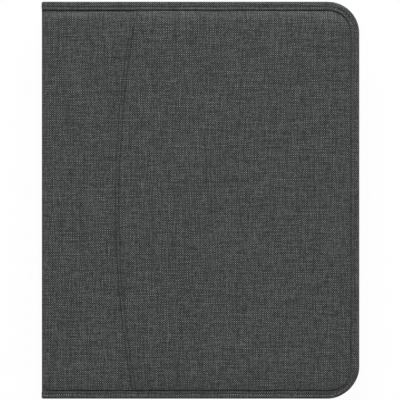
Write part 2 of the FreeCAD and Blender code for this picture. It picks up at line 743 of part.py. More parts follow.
def make_keys():
    for row, (left, depth, spans) in ROWS.items():
        caps = []
        for number, (middle, width) in enumerate(spans):
            name = "%s_cap_%d" % (row, number) if len(spans) > 1 else row
            caps.append(key_cap(name, left, depth, middle, width))
        keep(group(row, caps) if len(caps) > 1 else caps[0])


CASE_SCREW_ROOM = "size.case_screw_radius + size.screw_clearance"


def case_screw_places():
    return [
        (x, "%d * place.screw_y" % side)
        for x in ("place.screw_left", "place.screw_right")
        for side in (-1, 0, 1)
    ]


def make_keyboard_tray():
    """Open tray with posts for the screws, standoffs under the circuit board and a mouth for the port."""
    full_x = ("place.keyboard_left", "place.keyboard_right")
    inner_x = ("place.keyboard_left + size.tray_wall", "place.keyboard_right - size.tray_wall")
    inner_half = "place.keyboard_half - size.tray_wall"
    post_z = ("place.tray_low", "place.frame_low")
    shell = box("tray_block", full_x, both_sides("place.keyboard_half"), post_z)
    room = box("tray_room", inner_x, both_sides(inner_half), ("place.battery_low", "place.frame_low"))
    pieces = [cut("tray_shell", shell, [room])]
    holes = []
    head_z = ("place.tray_low", "place.tray_low + size.case_screw_head_height")
    head_room = "size.case_screw_head + size.screw_clearance"
    for number, (x, y) in enumerate(case_screw_places()):
        pieces.append(post("tray_post_%d" % number, "size.screw_post_radius", x, y, post_z))
        holes.append(post("tray_bore_%d" % number, CASE_SCREW_ROOM, x, y, post_z))
        holes.append(post("tray_head_%d" % number, head_room, x, y, head_z))
    standoff_y = "place.keyboard_half - size.standoff_inset"
    standoff_z = ("place.battery_low", "place.circuit_low")
    for side in MIRROR_SIDES:
        for end, x in (("left", "place.board_left"), ("right", "place.board_right")):
            inset = "+ size.standoff_inset" if end == "left" else "- size.standoff_inset"
            name = "tray_standoff_%s_%d" % (end, side)
            y = "%d * (%s)" % (side, standoff_y)
            pieces.append(post(name, "size.standoff_radius", "%s %s" % (x, inset), y, standoff_z))
    port_y = around("place.port_y", "size.port_width / 2 + size.port_clearance")
    holes.append(box("tray_port_mouth", ("place.keyboard_left", inner_x[0]), port_y, standoff_z))
    keep(cut("keyboard_tray", fuse("tray_blank", pieces), holes))


def make_keyboard_frame():
    """Top plate with a window for every key and for the controls."""
    x = ("place.keyboard_left", "place.keyboard_right")
    z = ("place.frame_low", "place.frame_top")
    plate = box("frame_plate", x, both_sides("place.keyboard_half"), z)
    holes = []
    for row, (left, depth, spans) in ROWS.items():
        for number, (middle, width) in enumerate(spans):
            holes.append(key_window("%s_window_%d" % (row, number), left, depth, middle, width))
    switch_x = around("place.control_x", "size.switch_width / 2 + size.control_clearance")
    switch_y = (
        "place.switch_y - size.switch_length / 2 - size.control_clearance",
        "place.switch_y + size.switch_length / 2 + size.switch_travel + size.control_clearance",
    )
    holes.append(box("frame_switch_slot", switch_x, switch_y, z))
    button_room = "size.button_radius + size.control_clearance"
    holes.append(post("frame_button_hole", button_room, "place.control_x", "place.button_y", z))
    for number, y in enumerate(light_places()):
        light_room = "size.light_radius + size.screw_clearance"
        holes.append(post("frame_light_hole_%d" % number, light_room, "place.control_x", y, z))
    bite = ("place.frame_low", "place.frame_low + size.screw_bite")
    for number, (screw_x, screw_y) in enumerate(case_screw_places()):
        holes.append(post("frame_screw_hole_%d" % number, CASE_SCREW_ROOM, screw_x, screw_y, bite))
    keep(cut("keyboard_frame", plate, holes))


def light_places():
    return ["place.light_y + %d * size.light_pitch" % number for number in range(2)]


def make_keyboard_inside():
    board_x = ("place.board_left", "place.board_right")
    board_half = "place.keyboard_half - size.tray_wall - size.board_gap"
    board_z = ("place.circuit_low", "place.circuit_top")
    keep(box("keyboard_circuit_board", board_x, both_sides(board_half), board_z))
    membrane_x = ("place.function_row_left", "place.board_right")
    keep(box("key_membrane", membrane_x, both_sides(board_half), ("place.circuit_top", "place.membrane_top")))
    battery_x = around("(place.board_left + place.board_right) / 2", "size.battery_width / 2")
    battery_z = ("place.battery_low", "place.circuit_low")
    keep(box("keyboard_battery", battery_x, both_sides("size.battery_length / 2"), battery_z))
    screws = []
    for number, (x, y) in enumerate(case_screw_places()):
        head_z = ("place.tray_low", "place.tray_low + size.case_screw_head_height")
        shank_z = (head_z[0], "place.frame_low + size.screw_bite")
        head = post("case_screw_head_%d" % number, "size.case_screw_head", x, y, head_z)
        shank = post("case_screw_shank_%d" % number, "size.case_screw_radius", x, y, shank_z)
        screws.append(fuse("case_screw_%d" % number, [head, shank]))
    keep(group("keyboard_screws", screws))
    strips = []
    strip_z = ("place.back_lining_top", "place.tray_low")
    strip_half = "place.keyboard_half - size.strip_inset"
    rear = "place.keyboard_left + size.strip_inset"
    front = "place.keyboard_right - size.strip_inset"
    strips.append(box("rear_strip", (rear, rear + " + size.strip_width"), both_sides(strip_half), strip_z))
    strips.append(box("front_strip", (front + " - size.strip_width", front), both_sides(strip_half), strip_z))
    keep(group("keyboard_fastening_strips", strips))


def make_controls():
    """Slide switch, pairing button, status lights and charging port along the rear of the keyboard."""
    top = "place.frame_top + size.control_proud"
    foot_x = around("place.control_x", "size.switch_width / 2 + size.switch_foot")
    foot_y = around("place.switch_y", "size.switch_length / 2")
    foot_z = ("place.circuit_top", "place.frame_low - size.control_clearance")
    foot = box("switch_foot", foot_x, foot_y, foot_z)
    knob_x = around("place.control_x", "size.switch_width / 2")
    knob = box("switch_knob", knob_x, foot_y, ("place.circuit_top", top))
    keep(fuse("power_switch", [foot, knob]))
    rim_z = ("place.circuit_top + size.button_travel + size.cloth_gap", "place.frame_low - size.cloth_gap")
    rim_radius = "size.button_radius + size.button_rim"
    rim = post("button_rim", rim_radius, "place.control_x", "place.button_y", rim_z)
    stem = post("button_stem", "size.button_radius", "place.control_x", "place.button_y", (rim_z[0], top))
    keep(fuse("pairing_button", [rim, stem]))
    lights = []
    light_z = ("place.circuit_top", "place.frame_top + size.light_proud")
    for number, y in enumerate(light_places()):
        lights.append(post("status_light_%d" % number, "size.light_radius", "place.control_x", y, light_z))
    keep(group("status_lights", lights))
    port_x = ("place.keyboard_left", "place.keyboard_left + size.port_depth")
    port_z = ("place.battery_low + size.port_clearance", "place.circuit_low")
    shell = box("port_block", port_x, around("place.port_y", "size.port_width / 2"), port_z)
    mouth_x = (port_x[0], port_x[1] + " - size.port_shell")
    mouth_y = around("place.port_y", "size.port_width / 2 - size.port_shell")
    mouth_z = (port_z[0] + " + size.port_shell", port_z[1] + " - size.port_shell")
    keep(cut("charging_port", shell, [box("port_mouth", mouth_x, mouth_y, mouth_z)]))


HINGE_Y = both_sides("2.5 * size.knuckle_length")


def knuckle_span(number):
    """Length of one hinge knuckle along Y, counted from the middle one."""
    middle = "%d * size.knuckle_length" % number
    return around(middle, "(size.knuckle_length - size.knuckle_gap) / 2")


def rivet_posts(name, z, radius="size.rivet_radius"):
    return [
        post("%s_%d" % (name, number), radius, "place.rivet_x", "%d * size.knuckle_length" % number, z)
        for number in range(-2, 3)
    ]


def barrel(name, number):
    return rod(name, "size.barrel_radius", "place.hinge_x", knuckle_span(number), "place.hinge_z")


def make_holder_hinge():
    """Leaf riveted to the lid, with every other knuckle of the hinge, and the hinge pin."""
    leaf_z = ("place.leaf_low", "place.front_lining_low")
    pieces = [box("leaf_sheet", ("place.leaf_left", "place.leaf_right"), HINGE_Y, leaf_z)]
    tongue_z = ("place.leaf_low", "place.front_lining_low - size.barrel_gap")
    for number in (-2, 0, 2):
        pieces.append(barrel("leaf_knuckle_%d" % number, number))
        tongue_x = ("place.leaf_left", "place.hinge_x")
        pieces.append(box("leaf_tongue_%d" % number, tongue_x, knuckle_span(number), tongue_z))
    bore = rod("leaf_bore", "size.hinge_pin_radius", "place.hinge_x", HINGE_Y, "place.hinge_z")
    holes = rivet_posts("leaf_hole", leaf_z)
    keep(cut("holder_hinge_leaf", fuse("leaf_blank", pieces), [bore] + holes))
    keep(rod("holder_hinge_pin", "size.hinge_pin_radius", "place.hinge_x", HINGE_Y, "place.hinge_z"))
    head_low = "place.leaf_low - size.rivet_head"
    heads = rivet_posts("rivet_head", (head_low, "place.leaf_low"), "size.rivet_head_radius")
    shanks = rivet_posts("rivet_shank", (head_low, "place.front_lining_top"))
    rivets = [fuse("rivet_%d" % number, pair) for number, pair in enumerate(zip(heads, shanks))]
    keep(group("hinge_rivets", rivets))


def retainer_screw_places():
    x = "(place.retainer_left + place.retainer_right) / 2"
    reach = "size.arm_width / 2 + size.arm_clearance + size.retainer_wing / 2"
    return [
        (x, "%d * size.arm_place + %d * (%s)" % (arm, side, reach))
        for arm in MIRROR_SIDES
        for side in MIRROR_SIDES
    ]


def retainer_span(arm):
    return around("%d * size.arm_place" % arm, "size.arm_width / 2 + size.arm_clearance + size.retainer_wing")


def screw_head(name, x, y, clearance):
    """Countersunk head, flush with the top of the holder plate."""
    head = doc.addObject("Part::Cone", name)
    head.setExpression("Radius1", "size.retainer_screw_radius + " + clearance)
    head.setExpression("Radius2", "size.retainer_screw_head + " + clearance)
    head.setExpression("Height", "size.retainer_plate")
    set_base(head, x, y, "place.retainer_low")
    return head


def make_holder_plate():
    """Flat plate behind the tablet, with two knuckles on the hinge and two channels for the clamp's arms."""
    x = ("place.plate_left", "place.plate_right")
    z = ("place.plate_low", "place.plate_top")
    pieces = [box("plate_sheet", x, both_sides("place.keyboard_half"), z)]
    tongue_x = ("place.hinge_x", x[0])
    tongue_z = around("place.hinge_z", "size.barrel_radius / 2")
    for number in (-1, 1):
        pieces.append(barrel("plate_knuckle_%d" % number, number))
        pieces.append(box("plate_tongue_%d" % number, tongue_x, knuckle_span(number), tongue_z))
    bore_radius = "size.hinge_pin_radius + size.hinge_clearance"
    holes = [rod("plate_bore", bore_radius, "place.hinge_x", HINGE_Y, "place.hinge_z")]
    channel_x = ("place.arm_left - size.arm_clearance", x[1])
    for arm in MIRROR_SIDES:
        channel_y = around("%d * size.arm_place" % arm, "size.arm_width / 2 + size.arm_clearance")
        holes.append(box("plate_channel_%d" % arm, channel_x, channel_y, ("place.channel_low", z[1])))
        seat_x = ("place.retainer_left", "place.retainer_right")
        holes.append(box("plate_seat_%d" % arm, seat_x, retainer_span(arm), ("place.retainer_low", z[1])))
    bite = ("place.retainer_low - size.retainer_screw_bite", "place.retainer_low")
    for number, (screw_x, screw_y) in enumerate(retainer_screw_places()):
        room = "size.retainer_screw_radius + size.screw_clearance"
        holes.append(post("plate_screw_hole_%d" % number, room, screw_x, screw_y, bite))
    keep(cut("holder_plate", fuse("plate_blank", pieces), holes))


def make_hooks():
    """Two fixed hooks under the plate beside the hinge, with rubber pads where the tablet's edge rests."""
    hooks = []
    pads = []
    for side in MIRROR_SIDES:
        y = around("%d * place.hook_y" % side, "size.hook_width / 2")
        wall_x = ("place.plate_left", "place.hook_face")
        wall = box("hook_wall_%d" % side, wall_x, y, ("place.lip_low", "place.plate_low"))
        lip_x = ("place.plate_left", "place.hook_face + size.hook_reach")
        lip = box("hook_lip_%d" % side, lip_x, y, ("place.lip_low", "place.lip_top"))
        hooks.append(fuse("hook_%d" % side, [wall, lip]))
        pad_y = around("%d * place.hook_y" % side, "size.hook_width / 2 - size.pad_inset")
        pad_x = ("place.hook_face", "place.hook_face + size.pad_rubber")
        pads.append(box("hook_pad_%d" % side, pad_x, pad_y, ("place.lip_top", "place.plate_low")))
    keep(group("fixed_hooks", hooks))
    keep(group("hook_pads", pads))


def make_clamp():
    """Sliding jaw on two arms, its rubber pad, and the retainers that hold the arms in their channels."""
    wall_x = ("place.jaw_face", "place.jaw_face + size.jaw_wall")
    y = both_sides("size.jaw_half")
    pieces = [box("jaw_wall", wall_x, y, ("place.lip_low", "place.arm_high"))]
    lip_x = ("place.jaw_face - size.hook_reach", wall_x[1])
    pieces.append(box("jaw_lip", lip_x, y, ("place.lip_low", "place.lip_top")))
    retainers = []
    arm_x = ("place.arm_left", wall_x[1])
    arm_z = ("place.arm_low", "place.arm_high")
    retainer_x = ("place.retainer_left", "place.retainer_right")
    strip_z = ("place.retainer_low", "place.plate_top")
    for arm in MIRROR_SIDES:
        arm_y = around("%d * size.arm_place" % arm, "size.arm_width / 2")
        pieces.append(box("jaw_arm_%d" % arm, arm_x, arm_y, arm_z))
        retainers.append(box("retainer_strip_%d" % arm, retainer_x, retainer_span(arm), strip_z))
    keep(fuse("clamp_jaw", pieces))
    pad_y = both_sides("size.jaw_half - size.pad_inset")
    pad_x = ("place.jaw_face - size.pad_rubber", "place.jaw_face")
    keep(box("clamp_pad", pad_x, pad_y, ("place.lip_top", "place.plate_low - size.arm_clearance")))
    holes = []
    screws = []
    for number, (x, screw_y) in enumerate(retainer_screw_places()):
        holes.append(screw_head("retainer_hole_%d" % number, x, screw_y, "size.screw_clearance"))
        head = screw_head("retainer_screw_head_%d" % number, x, screw_y, "0")
        shank_z = ("place.retainer_low - size.retainer_screw_bite", "place.plate_top")
        shank = post("retainer_screw_shank_%d" % number, "size.retainer_screw_radius", x, screw_y, shank_z)
        screws.append(fuse("retainer_screw_%d" % number, [head, shank]))
    keep(cut("arm_retainers", group("retainer_strips", retainers), holes))
    keep(group("retainer_screws", screws))


def make_inner_pocket():
    """Flat sewn pocket on the base, between the keyboard and the opening edge."""
    x = ("place.inner_pocket_left", "place.inner_pocket_right")
    y = both_sides("place.keyboard_half - size.inner_pocket_inset")
    z = ("place.back_lining_top", "place.back_lining_top + size.inner_pocket_cloth")
    keep(box("inner_pocket", x, y, z))


def check_document():
    """Stop if a feature failed, a cut removed nothing or a sub-part has no valid solid."""
    for item in doc.Objects:
        if "Invalid" in item.State or "Error" in item.State:
            raise RuntimeError("%s did not recompute: %s" % (item.Label, item.State))
        if item.TypeId == "PartDesign::Pocket" and item.Shape.Volume > item.BaseFeature.Shape.Volume - 1.0:
            raise RuntimeError("%s cut nothing" % item.Label)
    for item in sub_parts:
        if item.Shape.isNull() or not item.Shape.isValid() or not item.Shape.Solids:
            raise RuntimeError("%s has no valid solid" % item.Label)


make_back_cover()
make_spine()
make_folds()
make_front_cover()
make_zip()
make_keyboard_tray()
make_keyboard_inside()
make_keys()
make_keyboard_frame()
make_controls()
make_holder_hinge()
make_holder_plate()
make_hooks()
make_clamp()
make_inner_pocket()
doc.recompute()
check_document()
os.makedirs("parts", exist_ok=True)
for item in sub_parts:
    item.Shape.exportStep("parts/%s.step" % item.Label)
outline = Part.makeCompound([item.Shape for item in sub_parts]).BoundBox
print("%d sub-parts" % len(sub_parts))
print("X %.2f..%.2f  Y %.2f..%.2f  Z %.2f..%.2f" % (
    outline.XMin, outline.XMax, outline.YMin, outline.YMax, outline.ZMin, outline.ZMax))
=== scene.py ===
import math

import bmesh
import bpy
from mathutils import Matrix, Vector, noise


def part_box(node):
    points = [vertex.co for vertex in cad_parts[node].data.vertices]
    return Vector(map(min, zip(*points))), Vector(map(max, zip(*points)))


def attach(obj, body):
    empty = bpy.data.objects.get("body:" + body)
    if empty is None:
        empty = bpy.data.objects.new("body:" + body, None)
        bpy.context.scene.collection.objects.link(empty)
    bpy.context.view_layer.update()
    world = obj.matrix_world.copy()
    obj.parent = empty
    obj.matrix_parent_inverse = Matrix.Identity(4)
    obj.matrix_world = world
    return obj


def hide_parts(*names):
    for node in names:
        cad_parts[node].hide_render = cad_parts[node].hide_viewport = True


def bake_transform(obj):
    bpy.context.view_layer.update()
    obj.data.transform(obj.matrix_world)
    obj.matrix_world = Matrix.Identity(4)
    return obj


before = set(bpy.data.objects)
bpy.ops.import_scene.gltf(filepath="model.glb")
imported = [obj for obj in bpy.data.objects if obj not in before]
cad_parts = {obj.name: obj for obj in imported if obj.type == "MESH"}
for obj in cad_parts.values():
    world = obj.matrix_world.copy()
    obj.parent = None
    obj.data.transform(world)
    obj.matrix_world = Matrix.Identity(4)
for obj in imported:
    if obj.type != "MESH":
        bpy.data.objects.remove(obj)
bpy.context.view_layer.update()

# Looks of a closed tablet keyboard case in heathered grey cloth. Shapes are worked out in millimetres.
MM = 0.001


def mm_box(node):
    low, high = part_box(node)
    return low / MM, high / MM


# Outline that both covers share, straight at the spine and round at the two outer corners
BINDING_LOW, BINDING_HIGH = mm_box("front_binding")
RIGHT = BINDING_HIGH.x
HALF = BINDING_HIGH.y
CORNER = 21.5
TURN_X = RIGHT - CORNER
TURN_Y = HALF - CORNER
COVER_LEFT = mm_box("front_lining")[0].x
BINDING_LEFT = BINDING_LOW.x
TAPE_LEFT = mm_box("zipper_tape_back")[0].x
FRONT_CHAIN_LEFT = mm_box("zipper_teeth_front")[0].x

# Heights of the covers' cloth and linings
FRONT_TOP = mm_box("front_outer_fabric")[1].z
FRONT_LINING_LOW, FRONT_LINING_HIGH = (corner.z for corner in mm_box("front_lining"))
BACK_LINING_LOW, BACK_LINING_HIGH = (corner.z for corner in mm_box("back_lining"))
SPINE_LOW, SPINE_HIGH = (corner.z for corner in mm_box("spine_outer_fabric"))
SPINE_PROUD = 0.55
SPINE_BOW = 0.22
SPINE_FACE = mm_box("spine_outer_fabric")[0].x - SPINE_PROUD
SPINE_INNER = mm_box("spine_lining")[1].x
FOLD_RADIUS = COVER_LEFT - SPINE_FACE

# The padding swells from the groove beside the binding to the flat of the cover
GROOVE_INSET = 6.0
GROOVE_WIDTH = 0.55
GROOVE_WIDTH_RISE = 0.3
GROOVE_DEPTH = 3.25
GROOVE_DEPTH_RISE = 0.5
SWELL_WIDTH = 8.5
SWELL_POWER = 2.4
SWELL_DEPTH_TOP = 2.8
SWELL_DEPTH_BOTTOM = 0.5
SETTLE_DEPTH = 1.6
SETTLE_START = 60.0
SETTLE_POWER = 1.5
# The swell is a little uneven along the edge: by how much, at what inset, how far about it, and how often
RIPPLE = 0.12
RIPPLE_INSET = 10.0
RIPPLE_REACH = 4.0
RIPPLE_PER_MM = 0.10
RIPPLE_LAYER = 30.0

# The binding lies widest along the top edge, narrowest along the bottom, and is drawn in at the lower
# corner. The cover's mesh moves along with it, wholly up to an inset of LEAN_REACH and less further in
LEAN_SIDE = 0.2
LEAN_TOP = 0.22
LEAN_BOTTOM = 0.4
LEAN_CORNER = 0.55
LEAN_REACH = 8.0
CORNER_PULL = 0.45

# Front pocket: an arc for a mouth, a turned hem whose roll stands out past the cut edge, and one stitch
# row. The hem presses a narrow crease into the padding beside the mouth
MOUTH_ROLL = 0.3
MOUTH_X = mm_box("front_pocket_panel")[0].x - MOUTH_ROLL
MOUTH_MIDDLE = -3.0
MOUTH_RADIUS = 715.0
CREASE_MIDDLE = -0.05
CREASE_HALF = 0.3
CREASE_DEPTH = 0.45
POCKET_CLOTH = 0.7
HEM_STITCH = 2.3

# Stitches of one sewing thread. How it stands out, dives in and thins towards a stitch's ends is in shares
# of its radius
STITCH_PITCH = 3.0
STITCH_LENGTH = 2.35
STITCH_STEPS = (-1.0, -0.72, -0.3, 0.3, 0.72, 1.0)
THREAD_RADIUS = 0.18
THREAD_PROUD = 0.4
THREAD_DIVE = 1.5
THREAD_TAPER = 0.25
THREAD_SIDES = 6

# How strongly a yarn's tone follows its own drift, the stripes of light yarns beside dark ones and the
# single crossings
STREAK = 1.1
STRIPE = 2.9
FLECK = 0.5
# The darkest that these leave a yarn, as a share of its middle tone, and how gently they come to it
DARKEST_SHARE = 0.5
DARKEST_SOFTNESS = 0.4
# Contrast of the weave's over and under, which comes and goes in patches of this width
CHECKER_LEAST = 0.50
CHECKER_MOST = 0.85
PATCH_MM = 14.0
PATCH_NOISE = (0.36, 0.64)
# How far the yarns stray from straight lines, and over what length, in millimetres
WANDER = 0.4
WANDER_MM = 9.0
# Length over which a yarn's own tone and a stripe's tone drift, in millimetres, and how far they drift from
# one yarn to the next. The weft's drift is taken from another part of the noise
SLUB_MM = 22.0
SLUB_STEP = 5.37
STRIPE_MM = 15.0
STRIPE_STEP = 0.3
WEFT_SHIFT = 7.0
# Painted shade and light of a yarn: the share of its colour at its edge, darkened where the gaps between
# yarns lie in shade, and at its crown, lightened; then its roughness at its edge and at its crown, and how
# far the crown stands up
YARN_PAINTED_SHADE = (0.70, 1.12)
YARN_ROUGHNESS = (0.98, 0.88)
YARN_RELIEF_MM = 0.15

# Ribs of the narrow cloths: the share of fuzz in their relief, its spacing, the relief's range and the tone
# and gloss that it gives. Blender's wave repeats after WAVE_REPEAT at a scale of one
RIB_FUZZ = 0.4
RIB_FUZZ_PER_MM = 1.2
RIB_RELIEF = (0.1, 0.9)
RIB_TONE = (0.62, 1.35)
RIB_GLOSS = 0.06
RIB_RELIEF_MM = 0.2
WAVE_REPEAT = math.pi / 10

# Range that Blender's noise mostly keeps to, and the strength of every relief
NOISE = (0.3, 0.7)
BUMP = 0.5
# Width of the patches where handling has changed a finish, and how much it changes the gloss and the tone
# there
HANDLED_MM = 24.0
HANDLED_GLOSS = 0.07
HANDLED_TONE = 0.06


# Materials

def linear(hex_colour):
    """sRGB hex value as linear red, green, blue and alpha."""
    channels = [int(hex_colour[i:i + 2], 16) / 255 for i in (1, 3, 5)]
    return [c / 12.92 if c <= 0.04045 else ((c + 0.055) / 1.055) ** 2.4 for c in channels] + [1.0]


def add_node(tree, kind, inputs=None, **settings):
    """Add a node with its settings; inputs are values, sockets or nodes whose first output is meant."""
    made = tree.nodes.new("ShaderNode" + kind)
    for name, value in settings.items():
        setattr(made, name, value)
    for socket, value in (inputs or {}).items():
        if isinstance(value, bpy.types.Node):
            value = value.outputs[0]
        if isinstance(value, bpy.types.NodeSocket):
            tree.links.new(value, made.inputs[socket])
        else:
            made.inputs[socket].default_value = value
    return made


def new_finish(name):
    """Material and its empty node tree."""
    finish = bpy.data.materials.new(name)
    finish.use_nodes = True
    finish.node_tree.nodes.clear()
    return finish, finish.node_tree


def close_finish(tree, colour, share, roughness, relief, relief_mm, **sockets):
    """Shader of a colour times a share, with a relief; plain values are set on the shader's own sockets."""
    shaded = add_node(tree, "Mix", {0: 1.0, 6: colour, 7: share}, data_type="RGBA", blend_type="MULTIPLY")
    bump = add_node(tree, "Bump", {"Strength": BUMP, "Distance": relief_mm * MM, "Height": relief})
    inputs = {"Base Color": shaded.outputs[2], "Roughness": roughness, "Normal": bump}
    inputs.update({key.replace("_", " "): value for key, value in sockets.items()})
    shader = add_node(tree, "BsdfPrincipled", inputs)
    add_node(tree, "OutputMaterial", {"Surface": shader})


def handled_patches(tree, place, width):
    """Broad patches where handling has changed a finish, and the share of its colour that they leave."""
    handled = add_node(tree, "TexNoise", {"Vector": place, "Scale": 1 / width, "Detail": 2.0})
    worn = add_node(tree, "MapRange", {0: handled, 1: NOISE[0], 2: NOISE[1],
                                       3: 1 - HANDLED_TONE, 4: 1 + HANDLED_TONE})
    return handled, worn


def heather_weave(name, dark, light, warp_mm, weft_mm):
    """Melange polyester plain weave: each yarn is spun of light and dark fibres, so its tone drifts.

    The eye sees a fine checker of crossing yarns, broken by long light and dark streaks both ways. Real
    yarns of this cloth lie about 0.6 mm apart; warp_mm and weft_mm are a little coarser, so that the
    checker still shows.
    """
    finish, tree = new_finish(name)
    cloth = add_node(tree, "UVMap", uv_map="cloth")
    wander = add_node(tree, "TexNoise", {"Vector": cloth, "Scale": 1 / WANDER_MM, "Detail": 1.0})
    laid = add_node(tree, "VectorMath", {0: wander.outputs[1], 1: (WANDER, WANDER, 0.0), 2: cloth},
                    operation="MULTIPLY_ADD")
    run = add_node(tree, "SeparateXYZ", {0: laid})
    numbers, swells, streaks = [], [], []
    for across, along, pitch in ((0, 1, warp_mm), (1, 0, weft_mm)):
        count = add_node(tree, "Math", {0: run.outputs[across], 1: 1 / pitch}, operation="MULTIPLY")
        number = add_node(tree, "Math", {0: count}, operation="FLOOR")
        part = add_node(tree, "Math", {0: count, 1: number}, operation="SUBTRACT")
        turn = add_node(tree, "Math", {0: part, 1: math.pi}, operation="MULTIPLY")
        swells.append(add_node(tree, "Math", {0: turn}, operation="SINE"))
        drifts = []
        for step, length_mm in ((SLUB_STEP, SLUB_MM), (STRIPE_STEP, STRIPE_MM)):
            apart = add_node(tree, "Math", {0: number, 1: step}, operation="MULTIPLY")
            length = add_node(tree, "Math", {0: run.outputs[along], 1: 1 / length_mm}, operation="MULTIPLY")
            place = add_node(tree, "CombineXYZ", {0: apart, 1: length, 2: WEFT_SHIFT * across + step})
            drift = add_node(tree, "TexNoise",
                             {"Vector": place, "Scale": 1.0, "Detail": 3.0, "Roughness": 0.7})
            drifts.append(add_node(tree, "Math", {0: drift, 1: 0.5}, operation="SUBTRACT"))
        odd = add_node(tree, "Math", {0: number, 1: 2.0}, operation="FLOORED_MODULO")
        turned = add_node(tree, "Math", {0: odd, 1: 2 * STRIPE, 2: -STRIPE}, operation="MULTIPLY_ADD")
        single = add_node(tree, "Math", {0: drifts[0], 1: STREAK}, operation="MULTIPLY")
        streaks.append(add_node(tree, "Math", {0: drifts[1], 1: turned, 2: single},
                                operation="MULTIPLY_ADD"))
        numbers.append(number)
    both = add_node(tree, "Math", {0: numbers[0], 1: numbers[1]}, operation="ADD")
    over = add_node(tree, "Math", {0: both, 1: 2.0}, operation="FLOORED_MODULO")
    sign = add_node(tree, "Math", {0: over, 1: 2.0, 2: -1.0}, operation="MULTIPLY_ADD")
    patch = add_node(tree, "TexNoise", {"Vector": cloth, "Scale": 1 / PATCH_MM, "Detail": 1.0})
    contrast = add_node(tree, "MapRange", {0: patch, 1: PATCH_NOISE[0], 2: PATCH_NOISE[1],
                                           3: CHECKER_LEAST, 4: CHECKER_MOST})
    tone = add_node(tree, "Math", {0: sign, 1: contrast, 2: 0.5}, operation="MULTIPLY_ADD")
    yarn = add_node(tree, "Mix", {0: tone, 6: linear(dark), 7: linear(light)}, data_type="RGBA")
    streak = add_node(tree, "Math", {0: streaks[0], 1: streaks[1]}, operation="ADD")
    drawn = add_node(tree, "Math", {0: streak, 1: 1 - FLECK / 2}, operation="ADD")
    crossing = add_node(tree, "CombineXYZ", {0: numbers[0], 1: numbers[1]})
    fleck = add_node(tree, "TexWhiteNoise", {"Vector": crossing}, noise_dimensions="2D")
    spun = add_node(tree, "Math", {0: fleck, 1: FLECK, 2: drawn}, operation="MULTIPLY_ADD")
    kept = add_node(tree, "Math", {0: spun, 1: DARKEST_SHARE, 2: DARKEST_SOFTNESS}, operation="SMOOTH_MAX")
    lift = add_node(tree, "Math", {0: swells[0], 1: swells[1]}, operation="MULTIPLY")
    relief = add_node(tree, "Math", {0: lift, 1: 0.5}, operation="POWER")
    # Painted shade: each yarn's colour is darkened towards its edges, in the gaps between yarns, and
    # lightened at its crown
    shade = add_node(tree, "MapRange", {0: relief, 3: YARN_PAINTED_SHADE[0], 4: YARN_PAINTED_SHADE[1]})
    share = add_node(tree, "Math", {0: kept, 1: shade}, operation="MULTIPLY")
    dull = add_node(tree, "MapRange", {0: relief, 3: YARN_ROUGHNESS[0], 4: YARN_ROUGHNESS[1]})
    close_finish(tree, yarn.outputs[2], share, dull, relief, YARN_RELIEF_MM,
                 Specular_IOR_Level=0.2, Sheen_Weight=0.05, Sheen_Roughness=0.5)
    return finish


def grained(name, colour, grain_mm, contrast, depth_mm, roughness, **sockets):
    """Finish with one even grain in its colour and relief, and broad patches that are more or less worn."""
    finish, tree = new_finish(name)
    place = add_node(tree, "TexCoord").outputs["Object"]
    grain = add_node(tree, "TexNoise", {"Vector": place, "Scale": 1 / (grain_mm * MM), "Detail": 3.0})
    handled, worn = handled_patches(tree, place, HANDLED_MM * MM)
    tone = add_node(tree, "MapRange", {0: grain, 1: NOISE[0], 2: NOISE[1],
                                       3: 1 - contrast, 4: 1 + contrast})
    share = add_node(tree, "Math", {0: tone, 1: worn}, operation="MULTIPLY")
    gloss = add_node(tree, "MapRange", {0: handled, 1: NOISE[0], 2: NOISE[1],
                                        3: roughness + HANDLED_GLOSS, 4: roughness - HANDLED_GLOSS})
    close_finish(tree, linear(colour), share, gloss, grain, depth_mm, **sockets)
    return finish


def ribbed_cloth(name, colour, rib_mm, along, roughness, **sockets):
    """Narrow-woven or knitted cloth whose ribs show as fine parallel lines, in the cloth's own run."""
    finish, tree = new_finish(name)
    cloth = add_node(tree, "UVMap", uv_map="cloth")
    rib = add_node(tree, "TexWave",
                   {"Vector": cloth, "Scale": WAVE_REPEAT / rib_mm, "Distortion": 0.6, "Detail": 1.0},
                   bands_direction=along)
    fuzz = add_node(tree, "TexNoise", {"Vector": cloth, "Scale": RIB_FUZZ_PER_MM, "Detail": 4.0})
    worn = handled_patches(tree, cloth, HANDLED_MM)[1]
    relief = add_node(tree, "Mix", {0: RIB_FUZZ, 2: rib.outputs[1], 3: fuzz}, data_type="FLOAT")
    tone = add_node(tree, "MapRange", {0: relief, 1: RIB_RELIEF[0], 2: RIB_RELIEF[1],
                                       3: RIB_TONE[0], 4: RIB_TONE[1]})
    share = add_node(tree, "Math", {0: tone, 1: worn}, operation="MULTIPLY")
    dull = add_node(tree, "MapRange", {0: relief, 3: roughness + RIB_GLOSS, 4: roughness - RIB_GLOSS})
    close_finish(tree, linear(colour), share, dull, relief, RIB_RELIEF_MM,
                 Specular_IOR_Level=0.3, **sockets)
    return finish


# Melange polyester in a plain weave: dull grey, with light and dark yarns in a fine broken checker
OUTER_CLOTH = heather_weave("melange_polyester_plain_weave", dark="#040504", light="#5C5E5D",
                            warp_mm=0.755, weft_mm=0.77)
# The same yarn woven as a narrow tape and folded over the edges: as dull, and a touch lighter
BINDING_CLOTH = heather_weave("melange_polyester_binding_tape", dark="#040504", light="#5E605F",
                              warp_mm=0.755, weft_mm=0.77)
# Spun polyester sewing thread: dark dashes that are duller than the cloth
THREAD = grained("spun_polyester_thread", "#1E2120",
                 grain_mm=0.25, contrast=0.25, depth_mm=0.05, roughness=0.8, Specular_IOR_Level=0.2)
